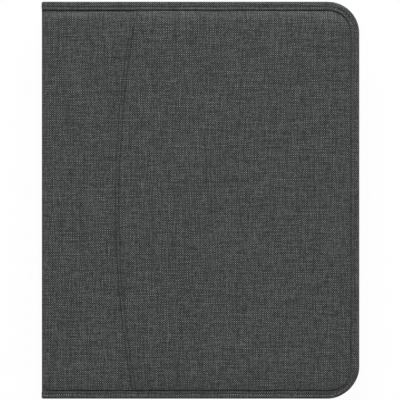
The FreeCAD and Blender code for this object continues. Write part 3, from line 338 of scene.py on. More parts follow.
# Warp-knit polyester with a brushed face: soft charcoal with slanting ribs. Its ribs are really 0.7 mm
# apart and are drawn wider, so that they show when the whole case is in view
LINING = ribbed_cloth("warp_knit_polyester_lining", "#292A2C",
                      rib_mm=1.7, along="DIAGONAL", roughness=0.82, Sheen_Weight=0.2)
# Woven polyester tape: nearly black, with ribs along its length
ZIP_TAPE = ribbed_cloth("woven_polyester_zip_tape", "#1E1F21",
                        rib_mm=0.9, along="Y", roughness=0.85)
# Moulded acetal: smooth dark teeth, each with one small soft highlight
ZIP_TEETH = grained("moulded_acetal", "#26272A",
                    grain_mm=0.8, contrast=0.06, depth_mm=0.01, roughness=0.35)
# Die-cast zinc under dark lacquer: dim metal whose reflections are soft and a little uneven
ZIP_METAL = grained("lacquered_zinc_die_casting", "#3C3D40",
                    grain_mm=0.6, contrast=0.10, depth_mm=0.01, roughness=0.36, Metallic=0.85)
# Loop pile of a hook-and-loop strip: black and fuzzy, with almost no gloss
PILE = grained("woven_nylon_loop_pile", "#17181A",
               grain_mm=0.6, contrast=0.5, depth_mm=0.3, roughness=0.92)
# ABS moulded against a spark-eroded tool: fine dull grain, drawn coarser than its 0.15 mm to show
HOUSING = grained("spark_textured_abs", "#1D1E20",
                  grain_mm=0.7, contrast=0.16, depth_mm=0.04, roughness=0.48)
# ABS moulded against an etched tool: a slightly larger grain, drawn coarser than its 0.25 mm to show
HOLDER = grained("etch_textured_abs", "#212225",
                 grain_mm=0.9, contrast=0.20, depth_mm=0.05, roughness=0.54)
# ABS key caps with a satin top: the finest grain of the ABS mouldings, drawn coarser to show, with fingers'
# polish in patches
KEY_PLASTIC = grained("satin_moulded_abs", "#161719",
                      grain_mm=0.5, contrast=0.12, depth_mm=0.02, roughness=0.42)
# Pad-printed ink: thin pale grey, flat, and slightly patchy where it took less
LEGEND = grained("pad_printed_ink", "#B8BBBD",
                 grain_mm=0.3, contrast=0.06, depth_mm=0.005, roughness=0.6)
# Moulded silicone rubber: black, matt and faintly dusty
RUBBER = grained("moulded_silicone_rubber", "#101112",
                 grain_mm=0.6, contrast=0.15, depth_mm=0.02, roughness=0.72)
# Moulded silicone sheet, unfilled: milky and soft-looking
MEMBRANE = grained("moulded_milky_silicone", "#B4B4AE",
                   grain_mm=0.6, contrast=0.06, depth_mm=0.02, roughness=0.6)
# Rolled steel under bright nickel: pale satin metal with a fine rolled mottle
STEEL = grained("nickel_plated_rolled_steel", "#A2A2A2",
                grain_mm=0.6, contrast=0.10, depth_mm=0.006, roughness=0.38, Metallic=1.0)
# Glass-epoxy laminate under green solder mask: smooth, with a soft gloss
BOARD = grained("solder_masked_epoxy_laminate", "#12402A",
                grain_mm=1.2, contrast=0.15, depth_mm=0.01, roughness=0.4)
# Laminated aluminium pouch foil: dull silver with faint creases
FOIL = grained("laminated_aluminium_foil", "#B6B7B9",
               grain_mm=1.5, contrast=0.08, depth_mm=0.03, roughness=0.4, Metallic=0.9)
# Moulded clear acrylic: pale and glossy
LIGHT_PIPE = grained("moulded_acrylic", "#C9DACF",
                     grain_mm=0.5, contrast=0.04, depth_mm=0.005, roughness=0.14)
# Pressed grey board: dull, with specks of pulp
GREYBOARD = grained("pressed_grey_board", "#77736C",
                    grain_mm=0.9, contrast=0.18, depth_mm=0.05, roughness=0.9)


# Meshes

# Folds of a soft piece look sharp from this angle on, in degrees
SOFT_SHARP = 50.0


class Form:
    """Points in millimetres and faces of one piece, with the run of the cloth at every face corner."""

    def __init__(self):
        self.points = []
        self.faces = []
        self.runs = []
        self.finishes = []

    def add_points(self, points):
        first = len(self.points)
        self.points.extend(points)
        return range(first, len(self.points))

    def add_face(self, corners, runs=None, finish=0):
        self.faces.append(tuple(corners))
        self.runs.append(runs or [(self.points[c][0], self.points[c][1]) for c in corners])
        self.finishes.append(finish)

    def loft(self, rings):
        """Closed skin over rings of points; the cloth runs along the rings' row and across each ring."""
        rows = [self.add_points(ring) for ring in rings]
        middles = [sum((Vector(p) for p in ring), Vector()) / len(ring) for ring in rings]
        along = [0.0]
        for before, after in zip(middles, middles[1:]):
            along.append(along[-1] + (after - before).length)
        longest = max(rings, key=lambda ring: (Vector(ring[0]) - Vector(ring[len(ring) // 2])).length)
        count = len(longest)
        across = [0.0]
        for k in range(count):
            step = Vector(longest[(k + 1) % count]) - Vector(longest[k])
            across.append(across[-1] + step.length)
        for i in range(len(rows) - 1):
            for k in range(count):
                after = (k + 1) % count
                corners = (rows[i][k], rows[i][after], rows[i + 1][after], rows[i + 1][k])
                runs = [(along[i], across[k]), (along[i], across[k + 1]),
                        (along[i + 1], across[k + 1]), (along[i + 1], across[k])]
                self.add_face(corners, runs)
        for row in (rows[0], rows[-1]):
            self.add_face(row)

    def sheet(self, outer, inner, runs=None, inner_finish=0):
        """Closed sheet between two grids of points, with the run of the cloth at each place of the grid."""
        outside = [self.add_points(row) for row in outer]
        inside = [self.add_points(row) for row in inner]
        last_row, last = len(outer) - 1, len(outer[0]) - 1
        for i in range(last_row):
            for k in range(last):
                corners = ((i, k), (i, k + 1), (i + 1, k + 1), (i + 1, k))
                laid = [runs[a][b] for a, b in corners] if runs else None
                self.add_face([outside[a][b] for a, b in corners], laid)
                self.add_face([inside[a][b] for a, b in corners], laid, inner_finish)
            for k in (0, last):
                self.add_face((outside[i][k], outside[i + 1][k], inside[i + 1][k], inside[i][k]))
        for i in (0, last_row):
            for k in range(last):
                self.add_face((outside[i][k], outside[i][k + 1], inside[i][k + 1], inside[i][k]))

    def piece(self, name, finishes, body, slot, replaces=(), sharp=SOFT_SHARP):
        """Make the mesh, and hang it on its body, if any, in place of the CAD nodes that it stands for."""
        mesh = bpy.data.meshes.new(name)
        mesh.from_pydata([Vector(p) * MM for p in self.points], [], self.faces)
        layer = mesh.uv_layers.new(name="cloth")
        layer.uv.foreach_set("vector", [value for runs in self.runs for run in runs for value in run])
        mesh.polygons.foreach_set("material_index", self.finishes)
        for finish in finishes:
            mesh.materials.append(finish)
        surface = bmesh.new()
        surface.from_mesh(mesh)
        bmesh.ops.recalc_face_normals(surface, faces=surface.faces)
        surface.to_mesh(mesh)
        surface.free()
        mesh.shade_smooth()
        mesh.set_sharp_from_angle(angle=math.radians(sharp))
        piece = bpy.data.objects.new(name, mesh)
        bpy.context.scene.collection.objects.link(piece)
        if body:
            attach(piece, body)
        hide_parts(*replaces)
        return piece


# Covers and front pocket

def clamped(value):
    return min(max(value, 0.0), 1.0)


def height_at(rows, distance):
    """Height at a distance, between rows of distances and heights; the last height goes on."""
    for (near, low), (far, high) in zip(rows, rows[1:]):
        if distance < far:
            return low + (high - low) * (distance - near) / (far - near)
    return rows[-1][1]


def inset_of(x, y):
    """Distance in from the covers' outline, which is open at the spine."""
    past_x, past_y = x - TURN_X, abs(y) - TURN_Y
    if past_x > 0 and past_y > 0:
        return CORNER - math.hypot(past_x, past_y)
    return CORNER - max(past_x, past_y)


def way_out(x, y):
    """Direction straight out to the covers' outline."""
    past_x, past_y = x - TURN_X, abs(y) - TURN_Y
    side = math.copysign(1.0, y)
    if past_x > 0 and past_y > 0:
        reach = math.hypot(past_x, past_y)
        return past_x / reach, side * past_y / reach
    return (1.0, 0.0) if past_x > past_y else (0.0, side)


def lower_corner(out):
    """One at the middle of the lower round corner, and nothing along the straight edges."""
    return (2 * out[0] * out[1]) ** 2 if out[1] < 0 else 0.0


def lean(out):
    """How much wider the binding lies than its section, by the direction out."""
    rise = LEAN_TOP if out[1] > 0 else LEAN_BOTTOM
    return LEAN_SIDE + rise * out[1] - LEAN_CORNER * lower_corner(out)


def leaned(x, y):
    """Place on a cover moved along with the groove, so that the mesh follows it."""
    out = way_out(x, y)
    share = clamped((CORNER - inset_of(x, y)) / (CORNER - LEAN_REACH))
    return x - out[0] * lean(out) * share, y - out[1] * lean(out) * share


def sunk(x, y):
    """Depth of a cover's cloth below its highest flat.

    The padding lies lower towards the bottom edge. Along every edge it falls away, most along the top, and
    ends at the narrow groove beside the binding.
    """
    out = way_out(x, y)
    inset = inset_of(x, y) - lean(out)
    upper_share = (y + HALF) / (2 * HALF)
    depth = SWELL_DEPTH_BOTTOM + (SWELL_DEPTH_TOP - SWELL_DEPTH_BOTTOM) * upper_share
    settle = SETTLE_DEPTH * (max(0.0, SETTLE_START - y) / (SETTLE_START + HALF)) ** SETTLE_POWER
    near_edge = math.exp(-(((inset - RIPPLE_INSET) / RIPPLE_REACH) ** 2))
    depth *= 1.0 + RIPPLE * near_edge * noise.noise(Vector((x, y, RIPPLE_LAYER)) * RIPPLE_PER_MM)
    t = clamped((inset - GROOVE_INSET) / SWELL_WIDTH)
    notch = clamped((inset - GROOVE_INSET) / (GROOVE_WIDTH + GROOVE_WIDTH_RISE * out[1]))
    groove = GROOVE_DEPTH - GROOVE_DEPTH_RISE * max(0.0, out[1])
    return settle + depth * (1.0 - t) ** SWELL_POWER + (groove - depth - settle) * (1.0 - notch) ** 2


def mouth(y):
    """Edge of the front pocket's mouth, an arc that bows towards the spine."""
    return MOUTH_X + MOUTH_RADIUS - math.sqrt(MOUTH_RADIUS ** 2 - (y - MOUTH_MIDDLE) ** 2)


def front_crown(x, y):
    crease = max(0.0, 1.0 - abs(x - mouth(y) - CREASE_MIDDLE) / CREASE_HALF)
    return FRONT_TOP - sunk(x, y) - CREASE_DEPTH * crease


def back_crown(x, y):
    return sunk(x, y)


def even(low, high, count):
    return [low + (high - low) * k / count for k in range(count + 1)]


def spaced(low, high, step):
    return even(low, high, max(1, round((high - low) / step)))


# Insets of the rows of points round a cover, close together in the groove
RIM_INSETS = [4.4, 6.0, 6.07, 6.16, 6.27, 6.4, 6.55, 6.75, 7.1, 7.6, 8.3, 9.1, 10.0, 11.0, 12.1, 13.2,
              14.4, 16.5, 19.0, CORNER]
TURN_STEPS = 20
ROW_STEP = 2.5
COLUMN_STEP = 3.0
SAME_PLACE = 0.01


def cover_shell(form, columns, top, bottom, run, rim=RIM_INSETS, left_finish=0):
    """Closed shell over the covers' outline; columns(y) are its places along X up to the round corners."""
    inner_rows = spaced(-TURN_Y, TURN_Y, ROW_STEP)
    rows = [d - HALF for d in rim[:-1]] + inner_rows + [HALF - d for d in reversed(rim[:-1])]
    places, patches = {}, []

    def spot(x, y):
        return places.setdefault((round(x, 3), round(y, 3)), len(places))

    for low, high in zip(rows, rows[1:]):
        low_x, high_x = columns(low), columns(high)
        for k in range(len(low_x) - 1):
            patches.append((spot(low_x[k], low), spot(low_x[k + 1], low), spot(high_x[k + 1], high),
                            spot(high_x[k], high)))
    for low, high in zip(inner_rows, inner_rows[1:]):
        for outer, inner in zip(rim, rim[1:]):
            patches.append((spot(RIGHT - inner, low), spot(RIGHT - outer, low), spot(RIGHT - outer, high),
                            spot(RIGHT - inner, high)))
    for side in (-1, 1):
        for step in range(TURN_STEPS):
            angles = [math.pi / 2 * (step + k) / TURN_STEPS for k in (0, 1)]
            for outer, inner in zip(rim, rim[1:]):
                patch = []
                for k, inset in ((0, inner), (0, outer), (1, outer), (1, inner)):
                    reach = CORNER - inset
                    corner = spot(TURN_X + reach * math.cos(angles[k]),
                                  side * (TURN_Y + reach * math.sin(angles[k])))
                    if corner not in patch:
                        patch.append(corner)
                patches.append(tuple(patch if side > 0 else reversed(patch)))
    flat = [leaned(x, y) for x, y in places]
    count = len(flat)
    form.add_points([(x, y, top(x, y)) for x, y in flat])
    form.add_points([(x, y, bottom(x, y)) for x, y in flat])
    edges = {}
    for patch in patches:
        runs = [run(*flat[c]) for c in patch]
        form.add_face(patch, runs)
        form.add_face([c + count for c in reversed(patch)], runs[::-1])
        for a, b in zip(patch, patch[1:] + patch[:1]):
            if (b, a) in edges:
                del edges[(b, a)]
            else:
                edges[(a, b)] = True
    for a, b in edges:
        on_left = max(flat[a][0], flat[b][0]) < COVER_LEFT + SAME_PLACE
        form.add_face((b, a, a + count, b + count), [run(*flat[c]) for c in (b, a, a, b)],
                      left_finish if on_left else 0)


def full_columns(y):
    return spaced(COVER_LEFT, TURN_X, COLUMN_STEP)


def creased_columns(y):
    """Columns of the front cover, with three of them in the crease beside the pocket's mouth."""
    crease = mouth(y) + CREASE_MIDDLE
    left = even(COVER_LEFT, crease - CREASE_HALF, round((MOUTH_X - COVER_LEFT) / COLUMN_STEP))
    return left + [crease] + even(crease + CREASE_HALF, TURN_X, round((TURN_X - MOUTH_X) / COLUMN_STEP))


# The outer cloth is one unrolled sheet: front, fold, spine, fold and back follow each other in its run
FOLD_LENGTH = FOLD_RADIUS * math.pi / 2
FOLD_RUN = COVER_LEFT - FOLD_LENGTH
SPINE_RUN = FOLD_RUN - (SPINE_HIGH - SPINE_LOW)
BACK_RUN = SPINE_RUN - FOLD_LENGTH


def front_run(x, y):
    return (x, y)


def back_run(x, y):
    return (BACK_RUN - (x - COVER_LEFT), y)


# Height of the pocket's cloth over the cover, by the distance from its mouth: a rolled edge, a doubled hem,
# the dip of the stitch row, then the single cloth
HEM = [(0.0, 0.50), (0.12, 0.78), (0.35, 0.98), (0.75, 1.08), (1.3, 1.06), (1.7, 0.98), (1.9, 0.80),
       (2.1, 0.35), (2.3, 0.06), (2.5, 0.35), (2.7, 0.66), (2.95, 0.78), (3.4, 0.80), (4.6, 0.76),
       (6.5, POCKET_CLOTH)]
MOUTH_GAP = 0.35
MOUTH_DEPTH = 1.8
POCKET_LIFT = 0.02
PRESSED_SHARE = 0.5


def pocket_columns(y):
    edge = mouth(y)
    hem = [edge + distance for distance, _ in HEM[:-1]]
    return hem + even(edge + HEM[-1][0], TURN_X, round((TURN_X - MOUTH_X) / COLUMN_STEP))


def pocket_top(x, y):
    """The pocket's cloth thins towards the outline, where the binding presses it flat."""
    free = clamped((inset_of(x, y) - GROOVE_INSET) / SWELL_WIDTH)
    share = PRESSED_SHARE + (1 - PRESSED_SHARE) * free
    return front_crown(x, y) + height_at(HEM, x - mouth(y)) * share


def pocket_underside(x, y):
    open_share = max(0.0, 1.0 - (x - mouth(y)) / MOUTH_DEPTH)
    return front_crown(x, y) + POCKET_LIFT + MOUTH_GAP * open_share


LINING_INSETS = [1.0, 6.0, 13.0, CORNER]


def lay_sheet(left_edge, rim_inset, stitches=()):
    """Width and area of a flat panel of cloth, cut to the covers' outline less rim_inset and to
    left_edge(y); they are worked out and not used.
    """
    right, top = RIGHT - rim_inset, HALF - rim_inset
    rows = spaced(-top, top, ROW_STEP)
    width = right - min(left_edge(y) for y in rows)
    corners = (2.0 - math.pi / 2) * (CORNER - rim_inset) ** 2
    area = sum(right - left_edge(y) for y in rows) / len(rows) * 2 * top - corners


def flat_at(z):
    """Flat face of a cover or a lining."""
    return lambda x, y: z


def make_lining(side, low, high):
    lining = Form()
    cover_shell(lining, full_columns, flat_at(high), flat_at(low), front_run, rim=LINING_INSETS)
    cloth = lining.piece(side + "_lining_cloth", [LINING], side + "_cover", "lining", [side + "_lining"])
    lay_sheet(lambda y: COVER_LEFT, LINING_INSETS[0])


def make_front_cover():
    cover = Form()
    cover_shell(cover, creased_columns, front_crown, flat_at(FRONT_LINING_HIGH), front_run, left_finish=1)
    piece = cover.piece("front_padded_cover", [OUTER_CLOTH, LINING], "front_cover", "outer_fabric",
                        ["front_outer_fabric", "front_foam", "front_board"])
    pocket = Form()
    cover_shell(pocket, pocket_columns, pocket_top, pocket_underside, front_run)
    panel = pocket.piece("front_pocket", [OUTER_CLOTH], "front_cover", "outer_fabric",
                         ["front_pocket_panel"])
    lay_sheet(mouth, RIM_INSETS[0], [make_mouth_stitches()])
    make_lining("front", FRONT_LINING_LOW, FRONT_LINING_HIGH)


def make_back_cover():
    cover = Form()
    cover_shell(cover, full_columns, flat_at(BACK_LINING_LOW), back_crown, back_run, left_finish=1)
    piece = cover.piece("back_padded_cover", [OUTER_CLOTH, LINING], "back_cover", "outer_fabric",
                        ["back_outer_fabric", "back_foam", "back_board"])
    make_lining("back", BACK_LINING_LOW, BACK_LINING_HIGH)


# Bound edge and stitches

EDGE_STEP = 4.0


def straight_edge(places, side):
    """Stations along the bottom edge, where side is -1, or along the top edge."""
    return [((x, side * TURN_Y), (0.0, side)) for x in places]


def edge_stations(start):
    """Places along the bound edge, from the spine round to the spine.

    Each is a point on the frame of the corners' centres and the direction straight out from it.
    """
    straight = spaced(start, TURN_X, EDGE_STEP)
    angles = [math.pi / 2 * k / TURN_STEPS for k in range(1, TURN_STEPS)]
    stations = straight_edge(straight, -1.0)
    stations += [((TURN_X, -TURN_Y), (math.sin(a), -math.cos(a))) for a in angles]
    stations += [((TURN_X, y), (1.0, 0.0)) for y in spaced(-TURN_Y, TURN_Y, EDGE_STEP)]
    stations += [((TURN_X, TURN_Y), (math.cos(a), math.sin(a))) for a in angles]
    return stations + straight_edge(reversed(straight), 1.0)


def at_inset(station, inset, z):
    (x, y), (out_x, out_y) = station
    reach = CORNER - inset
    return Vector((x + out_x * reach, y + out_y * reach, z))


def edge_walk(inset, start, pitch, offset=0.5):
    """Evenly spaced places along the edge at one inset, each with its station."""
    run = TURN_X - start
    turn = math.pi / 2 * (CORNER - inset)
    total = 2 * run + 2 * turn + 2 * TURN_Y
    places = []
    for k in range(int(total / pitch)):
        s = (k + offset) * pitch
        if s < run:
            places.append(((start + s, -TURN_Y), (0.0, -1.0)))
        elif s < run + turn:
            a = (s - run) / (CORNER - inset)
            places.append(((TURN_X, -TURN_Y), (math.sin(a), -math.cos(a))))
        elif s < run + turn + 2 * TURN_Y:
            places.append(((TURN_X, s - run - turn - TURN_Y), (1.0, 0.0)))
        elif s < run + 2 * turn + 2 * TURN_Y:
            a = (s - run - turn - 2 * TURN_Y) / (CORNER - inset)
            places.append(((TURN_X, TURN_Y), (math.cos(a), math.sin(a))))
        else:
            places.append(((TURN_X - (s - run - 2 * turn - 2 * TURN_Y), TURN_Y), (0.0, 1.0)))
    return places


def stitch(form, place, along, up):
    """One stitch of thread, partly sunk in the cloth, that dives into it at both ends."""
    side = along.cross(up)
    rings = []
    for t in STITCH_STEPS:
        height = THREAD_RADIUS * (THREAD_PROUD - THREAD_DIVE * t ** 4)
        middle = place + along * (t * STITCH_LENGTH / 2) + up * height
        radius = THREAD_RADIUS * (1.0 - THREAD_TAPER * t * t)
        rings.append([middle + (side * math.cos(a) + up * math.sin(a)) * radius
                      for a in (2 * math.pi / THREAD_SIDES * k for k in range(THREAD_SIDES))])
    form.loft(rings)


# Distance of the mouth's last stitches from the outline
SEAM_END = 7.5


def make_mouth_stitches():
    seam = Form()
    for y in spaced(-HALF + SEAM_END, HALF - SEAM_END, STITCH_PITCH):
        x = mouth(y) + HEM_STITCH
        below, above = y - 0.5, y + 0.5
        slope = mouth(above) - mouth(below)
        along = Vector((slope, 1.0, pocket_top(x, above) - pocket_top(x, below))).normalized()
        up = Vector((0.0, -along.z, along.y)).normalized()
        stitch(seam, Vector((x, y, pocket_top(x, y))), along, up)
    return seam.piece("front_pocket_stitches", [THREAD], "front_cover", "outer_fabric")


# Bindings

# Section of the folded binding: inset from the outline and height from its face inside the case. The tape
# goes round the cover's edge; its doubled edge beside the groove stands up, and the stitch row draws the
# band down
BINDING_STITCH = 3.35
BINDING_OUTSIDE = [
    (5.38, 2.35), (5.42, 2.80), (5.37, 3.12), (5.22, 3.34), (5.00, 3.42), (4.76, 3.34), (4.50, 3.17),
    (4.25, 3.06), (4.00, 3.03), (3.75, 2.97), (3.53, 2.87), (3.35, 2.83), (3.17, 2.87), (2.95, 2.96),
    (2.65, 3.05), (1.80, 3.08), (1.10, 2.97), (0.60, 2.78), (0.26, 2.48), (0.06, 2.12), (0.00, 1.75),
    (0.00, 1.26), (0.12, 0.80), (0.45, 0.38), (1.00, 0.10), (1.80, 0.00), (2.65, 0.06), (3.20, 0.20),
    (3.50, 0.20), (4.05, 0.06), (4.90, 0.00), (5.24, 0.10), (5.38, 0.32),
]
BINDING_INSIDE = [
    (5.30, 0.58), (1.50, 0.60), (1.05, 0.85), (0.88, 1.30), (0.88, 1.75), (1.05, 2.10), (1.50, 2.32),
]
BINDING_SECTION = BINDING_OUTSIDE + BINDING_INSIDE
BINDING_MIDDLE = (2.7, 1.6)
BINDING_HEIGHT = 3.2
STITCH_HEIGHTS = ((2.83, 1.0), (0.20, -1.0))
# Insets between which the band takes up its lean
LEAN_STARTS = 3.8
LEAN_WHOLE = 4.6
# Height of the doubled edge and depth of the stitch row, in shares of the section's own, and how they
# change with the direction out
RIDGE_STARTS = 4.1
RIDGE_BASE = 3.0
RIDGE_SIDE = 0.75
RIDGE_RISE = 0.5
STITCH_HALF = 0.6
STITCH_FLAT = 0.9
STITCH_SIDE = 0.9
STITCH_RISE = -0.7
# The binding's closed ends beside the spine: how much smaller they are, the places where they close, where
# the next place follows, and where the stitches start
TUCK = 0.32
TUCK_PLACES = (0.0, 0.3, 0.65, 1.1)
TUCK_FOLLOWED = 3.0
TUCK_STITCH = 1.5


def raised(inset, height, out):
    """Height of a point of the section.

    Along the top the doubled edge stands highest and the stitch row lies flattest.
    """
    if inset > RIDGE_STARTS and height > RIDGE_BASE:
        return RIDGE_BASE + (height - RIDGE_BASE) * (RIDGE_SIDE + RIDGE_RISE * out[1])
    if abs(inset - BINDING_STITCH) < STITCH_HALF and height > BINDING_MIDDLE[1]:
        sewn = STITCH_FLAT + STITCH_SIDE * out[0] + STITCH_RISE * out[1]
        return RIDGE_BASE + (height - RIDGE_BASE) * sewn
    return height


def spread(inset, out):
    """Inset of a point of the binding's section where the band leans wider or is drawn in."""
    share = clamped((inset - LEAN_STARTS) / (LEAN_WHOLE - LEAN_STARTS))
    return inset + lean(out) * share + CORNER_PULL * lower_corner(out)


def tuck(x):
    """Share of the binding's section at its closed ends beside the spine."""
    past_end = x - BINDING_LEFT
    return 1.0 - TUCK * max(0.0, 1.0 - past_end / TUCK_PLACES[-1]) ** 2


def drawn_section(share):
    """The binding's section drawn in towards its middle."""
    inset, height = BINDING_MIDDLE
    return [(inset + (d - inset) * share, height + (h - height) * share) for d, h in BINDING_SECTION]


def make_binding(name, body, node, height_of):
    band = Form()
    starts = [BINDING_LEFT + place for place in TUCK_PLACES]
    stations = straight_edge(starts, -1.0) + edge_stations(BINDING_LEFT + TUCK_FOLLOWED)
    stations += straight_edge(reversed(starts), 1.0)
    band.loft([[at_inset(station, spread(d, station[1]), height_of(raised(d, h, station[1])))
                for d, h in drawn_section(tuck(station[0][0]))] for station in stations])
    piece = band.piece(name, [BINDING_CLOTH], body, "edge_binding", [node])
    seam = Form()
    for station in edge_walk(BINDING_STITCH, BINDING_LEFT + TUCK_STITCH, STITCH_PITCH):
        along = Vector((-station[1][1], station[1][0], 0.0))
        for height, way in STITCH_HEIGHTS:
            up = Vector((0.0, 0.0, math.copysign(1.0, height_of(1.0) - height_of(0.0)) * way))
            place = at_inset(station, spread(BINDING_STITCH, station[1]),
                             height_of(raised(BINDING_STITCH, height, station[1])))
            stitch(seam, place, along, up)
    stitches = seam.piece(name + "_stitches", [THREAD], body, "edge_binding")


# How far the bound ends of the spine reach towards the covers' bindings, clear of their swing, how they
# close at their ends, and where their stitches lie and start
SPINE_END_REACH = 0.6
SPINE_END_TUCK = ((0.0, 0.86), (0.2, 0.95), (0.7, 1.0))
SPINE_STITCH_DEPTH = 0.30
SPINE_STITCH_START = 2.0


def make_bindings():
    front_low = mm_box("front_binding")[0]
    make_binding("front_edge_binding", "front_cover", "front_binding", lambda h: front_low.z + h)
    back_high = mm_box("back_binding")[1]
    make_binding("back_edge_binding", "back_cover", "back_binding", lambda h: back_high.z - h)
    spine_low, spine_high = mm_box("spine_binding")
    thinner = (spine_high.x - spine_low.x) / BINDING_HEIGHT
    low_z, high_z = spine_low.z - SPINE_END_REACH, spine_high.z + SPINE_END_REACH
    places = [(low_z + d, share) for d, share in SPINE_END_TUCK]
    places += [(high_z - d, share) for d, share in reversed(SPINE_END_TUCK)]
    ends = Form()
    seam = Form()
    for side in (-1, 1):
        ends.loft([[(spine_high.x - h * thinner, side * (HALF - d), z) for d, h in drawn_section(share)]
                   for z, share in places])
        for z in spaced(spine_low.z + SPINE_STITCH_START, spine_high.z - SPINE_STITCH_START, STITCH_PITCH):
            place = Vector((spine_low.x + SPINE_STITCH_DEPTH, side * (HALF - BINDING_STITCH), z))
            stitch(seam, place, Vector((0.0, 0.0, 1.0)), Vector((-1.0, 0.0, 0.0)))
    piece = ends.piece("spine_end_binding", [BINDING_CLOTH], "spine", "edge_binding", ["spine_binding"])
    stitches = seam.piece("spine_end_stitches", [THREAD], "spine", "edge_binding")


# Spine and folds

# The spine's cloth ends under its bindings. The folds' cloth runs on a little into the ends of the covers'
# bindings, where it lies flatter, so that it fills part of the corner when the case is open
SPINE_HALF = HALF - 4.8
SPINE_STEP = 2.0
SPINE_ROWS = spaced(-SPINE_HALF, SPINE_HALF, ROW_STEP)
FOLD_HALF = HALF - 3.2
FOLD_ROWS = spaced(-FOLD_HALF, FOLD_HALF, ROW_STEP)
FOLD_END_RISE = 0.8
FOLD_CLOTH = 0.8
FOLD_LEAST = 0.2
FOLD_STEPS = 10


def make_fold(name, node, crown, level, way, run_start):
    """Quarter round of cloth from a cover's edge to the spine."""
    angles = even(0.0, math.pi / 2, FOLD_STEPS)
    faces = []
    for depth in (0.0, FOLD_CLOTH):
        rows = []
        for y in FOLD_ROWS:
            rise = abs(crown(COVER_LEFT, y) - level)
            if abs(y) > SPINE_HALF:
                rise = min(rise, FOLD_END_RISE)
            rise = max(rise - depth, FOLD_LEAST)
            rows.append([(COVER_LEFT - (FOLD_RADIUS - depth) * math.sin(a), y,
                          level + way * rise * math.cos(a)) for a in angles])
        faces.append(rows)
    runs = [[(run_start - length, y) for length in even(0.0, FOLD_LENGTH, FOLD_STEPS)] for y in FOLD_ROWS]
    fold = Form()
    fold.sheet(*faces, runs, inner_finish=1)
    piece = fold.piece(name, [OUTER_CLOTH, LINING], None, "outer_fabric", [node])
    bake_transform(piece)
    return piece


def spine_sheet(name, node, outer_x, inner_x, finish, slot):
    """Strip of cloth on one side of the spine's board, between the two folds."""
    heights = spaced(SPINE_LOW, SPINE_HIGH, SPINE_STEP)
    strip = Form()
    strip.sheet([[(outer_x(z), y, z) for z in heights] for y in SPINE_ROWS],
                [[(inner_x, y, z) for z in heights] for y in SPINE_ROWS],
                [[(FOLD_RUN - (SPINE_HIGH - z), y) for z in heights] for y in SPINE_ROWS])
    return strip.piece(name, [finish], "spine", slot, [node])


def make_spine():
    """Cloth bowed a little by the spine's board, the lining inside, and the two folds beside the covers."""
    middle, half = (SPINE_HIGH + SPINE_LOW) / 2, (SPINE_HIGH - SPINE_LOW) / 2
    board_low, board_high = mm_box("spine_board")
    folds = [
        make_fold("upper_fold_cloth", "upper_fold", front_crown, SPINE_HIGH, 1,
                  COVER_LEFT),
        make_fold("lower_fold_cloth", "lower_fold", back_crown, SPINE_LOW, -1,
                  SPINE_RUN),
    ]
    cloth = spine_sheet("spine_cloth", "spine_outer_fabric",
                        lambda z: SPINE_FACE - SPINE_BOW * (1.0 - ((z - middle) / half) ** 2), board_low.x,
                        OUTER_CLOTH, "outer_fabric")
    lining = spine_sheet("spine_lining_cloth", "spine_lining", lambda z: board_high.x, SPINE_INNER,
                         LINING, "lining")


# Zip

# Section of a zip tape: a leg that goes into the binding and a wall with a corded edge that carries the
# teeth. The front tape's ends, which have no teeth, are cut lower, clear of the slider
TAPE_SECTION = [
    (5.0, 0.04), (5.70, 0.04), (5.84, 0.30), (5.84, 8.6), (5.66, 8.85), (5.62, 9.25), (5.74, 9.6),
    (5.94, 9.75), (6.26, 9.75), (6.46, 9.6), (6.58, 9.25), (6.54, 8.85), (6.36, 8.6), (6.36, 0.75),
    (6.20, 0.58), (5.0, 0.58),
]
TAPE_EDGE = 9.25
LOW_TAPE_DROP = 2.15
LOW_TAPE_SECTION = [(d, h - LOW_TAPE_DROP if h > TAPE_EDGE / 2 else h) for d, h in TAPE_SECTION]
CHAIN_INSET = 6.1
TOOTH_PITCH = 2.1
# A moulded tooth at heights from the tape's edge: half its size along the chain and across it. Its slim
# foot grips the cord between the slider's lips, and its head is wider than its neck. Where the slider runs
# the two rows stand apart, clear of its blade; everywhere else each head lies between the necks of the
# other row
TOOTH_FOOT = [(-0.75, 0.50, 0.50), (-0.32, 0.66, 0.54), (-0.18, 0.72, 0.94), (0.55, 0.74, 1.14)]
OPEN_TOOTH = TOOTH_FOOT + [(0.85, 0.50, 1.18), (1.2, 0.42, 1.16), (1.45, 0.53, 1.12), (1.80, 0.53, 1.00),
                           (2.05, 0.36, 0.66)]
LOCKED_TOOTH = TOOTH_FOOT + [(0.85, 0.50, 1.18), (1.2, 0.42, 1.16), (2.3, 0.42, 1.12), (2.7, 0.50, 1.08),
                             (3.7, 0.50, 1.00), (4.0, 0.32, 0.70)]
TOOTH_CORNER = 0.55
TOOTH_OUTLINE = [(1, TOOTH_CORNER), (TOOTH_CORNER, 1), (-TOOTH_CORNER, 1), (-1, TOOTH_CORNER),
                 (-1, -TOOTH_CORNER), (-TOOTH_CORNER, -1), (TOOTH_CORNER, -1), (1, -TOOTH_CORNER)]
TOOTH_ROOM = 1.0
# How far the slider goes along the bottom edge, and where its run ends
SLIDER_TRAVEL = 170.0
SLIDER_REACH = mm_box("zipper_slider")[1].x + SLIDER_TRAVEL + TOOTH_ROOM


def make_tooth(form, station, edge, way):
    along = Vector((-station[1][1], station[1][0], 0.0))
    out = Vector((station[1][0], station[1][1], 0.0))
    slider_passes = out.y < 0 and station[0][0] < SLIDER_REACH
    rings = []
    for height, half_along, half_across in OPEN_TOOTH if slider_passes else LOCKED_TOOTH:
        middle = at_inset(station, CHAIN_INSET, edge + way * height)
        rings.append([middle + along * (half_along * a) + out * (half_across * b)
                      for a, b in TOOTH_OUTLINE])
    form.loft(rings)


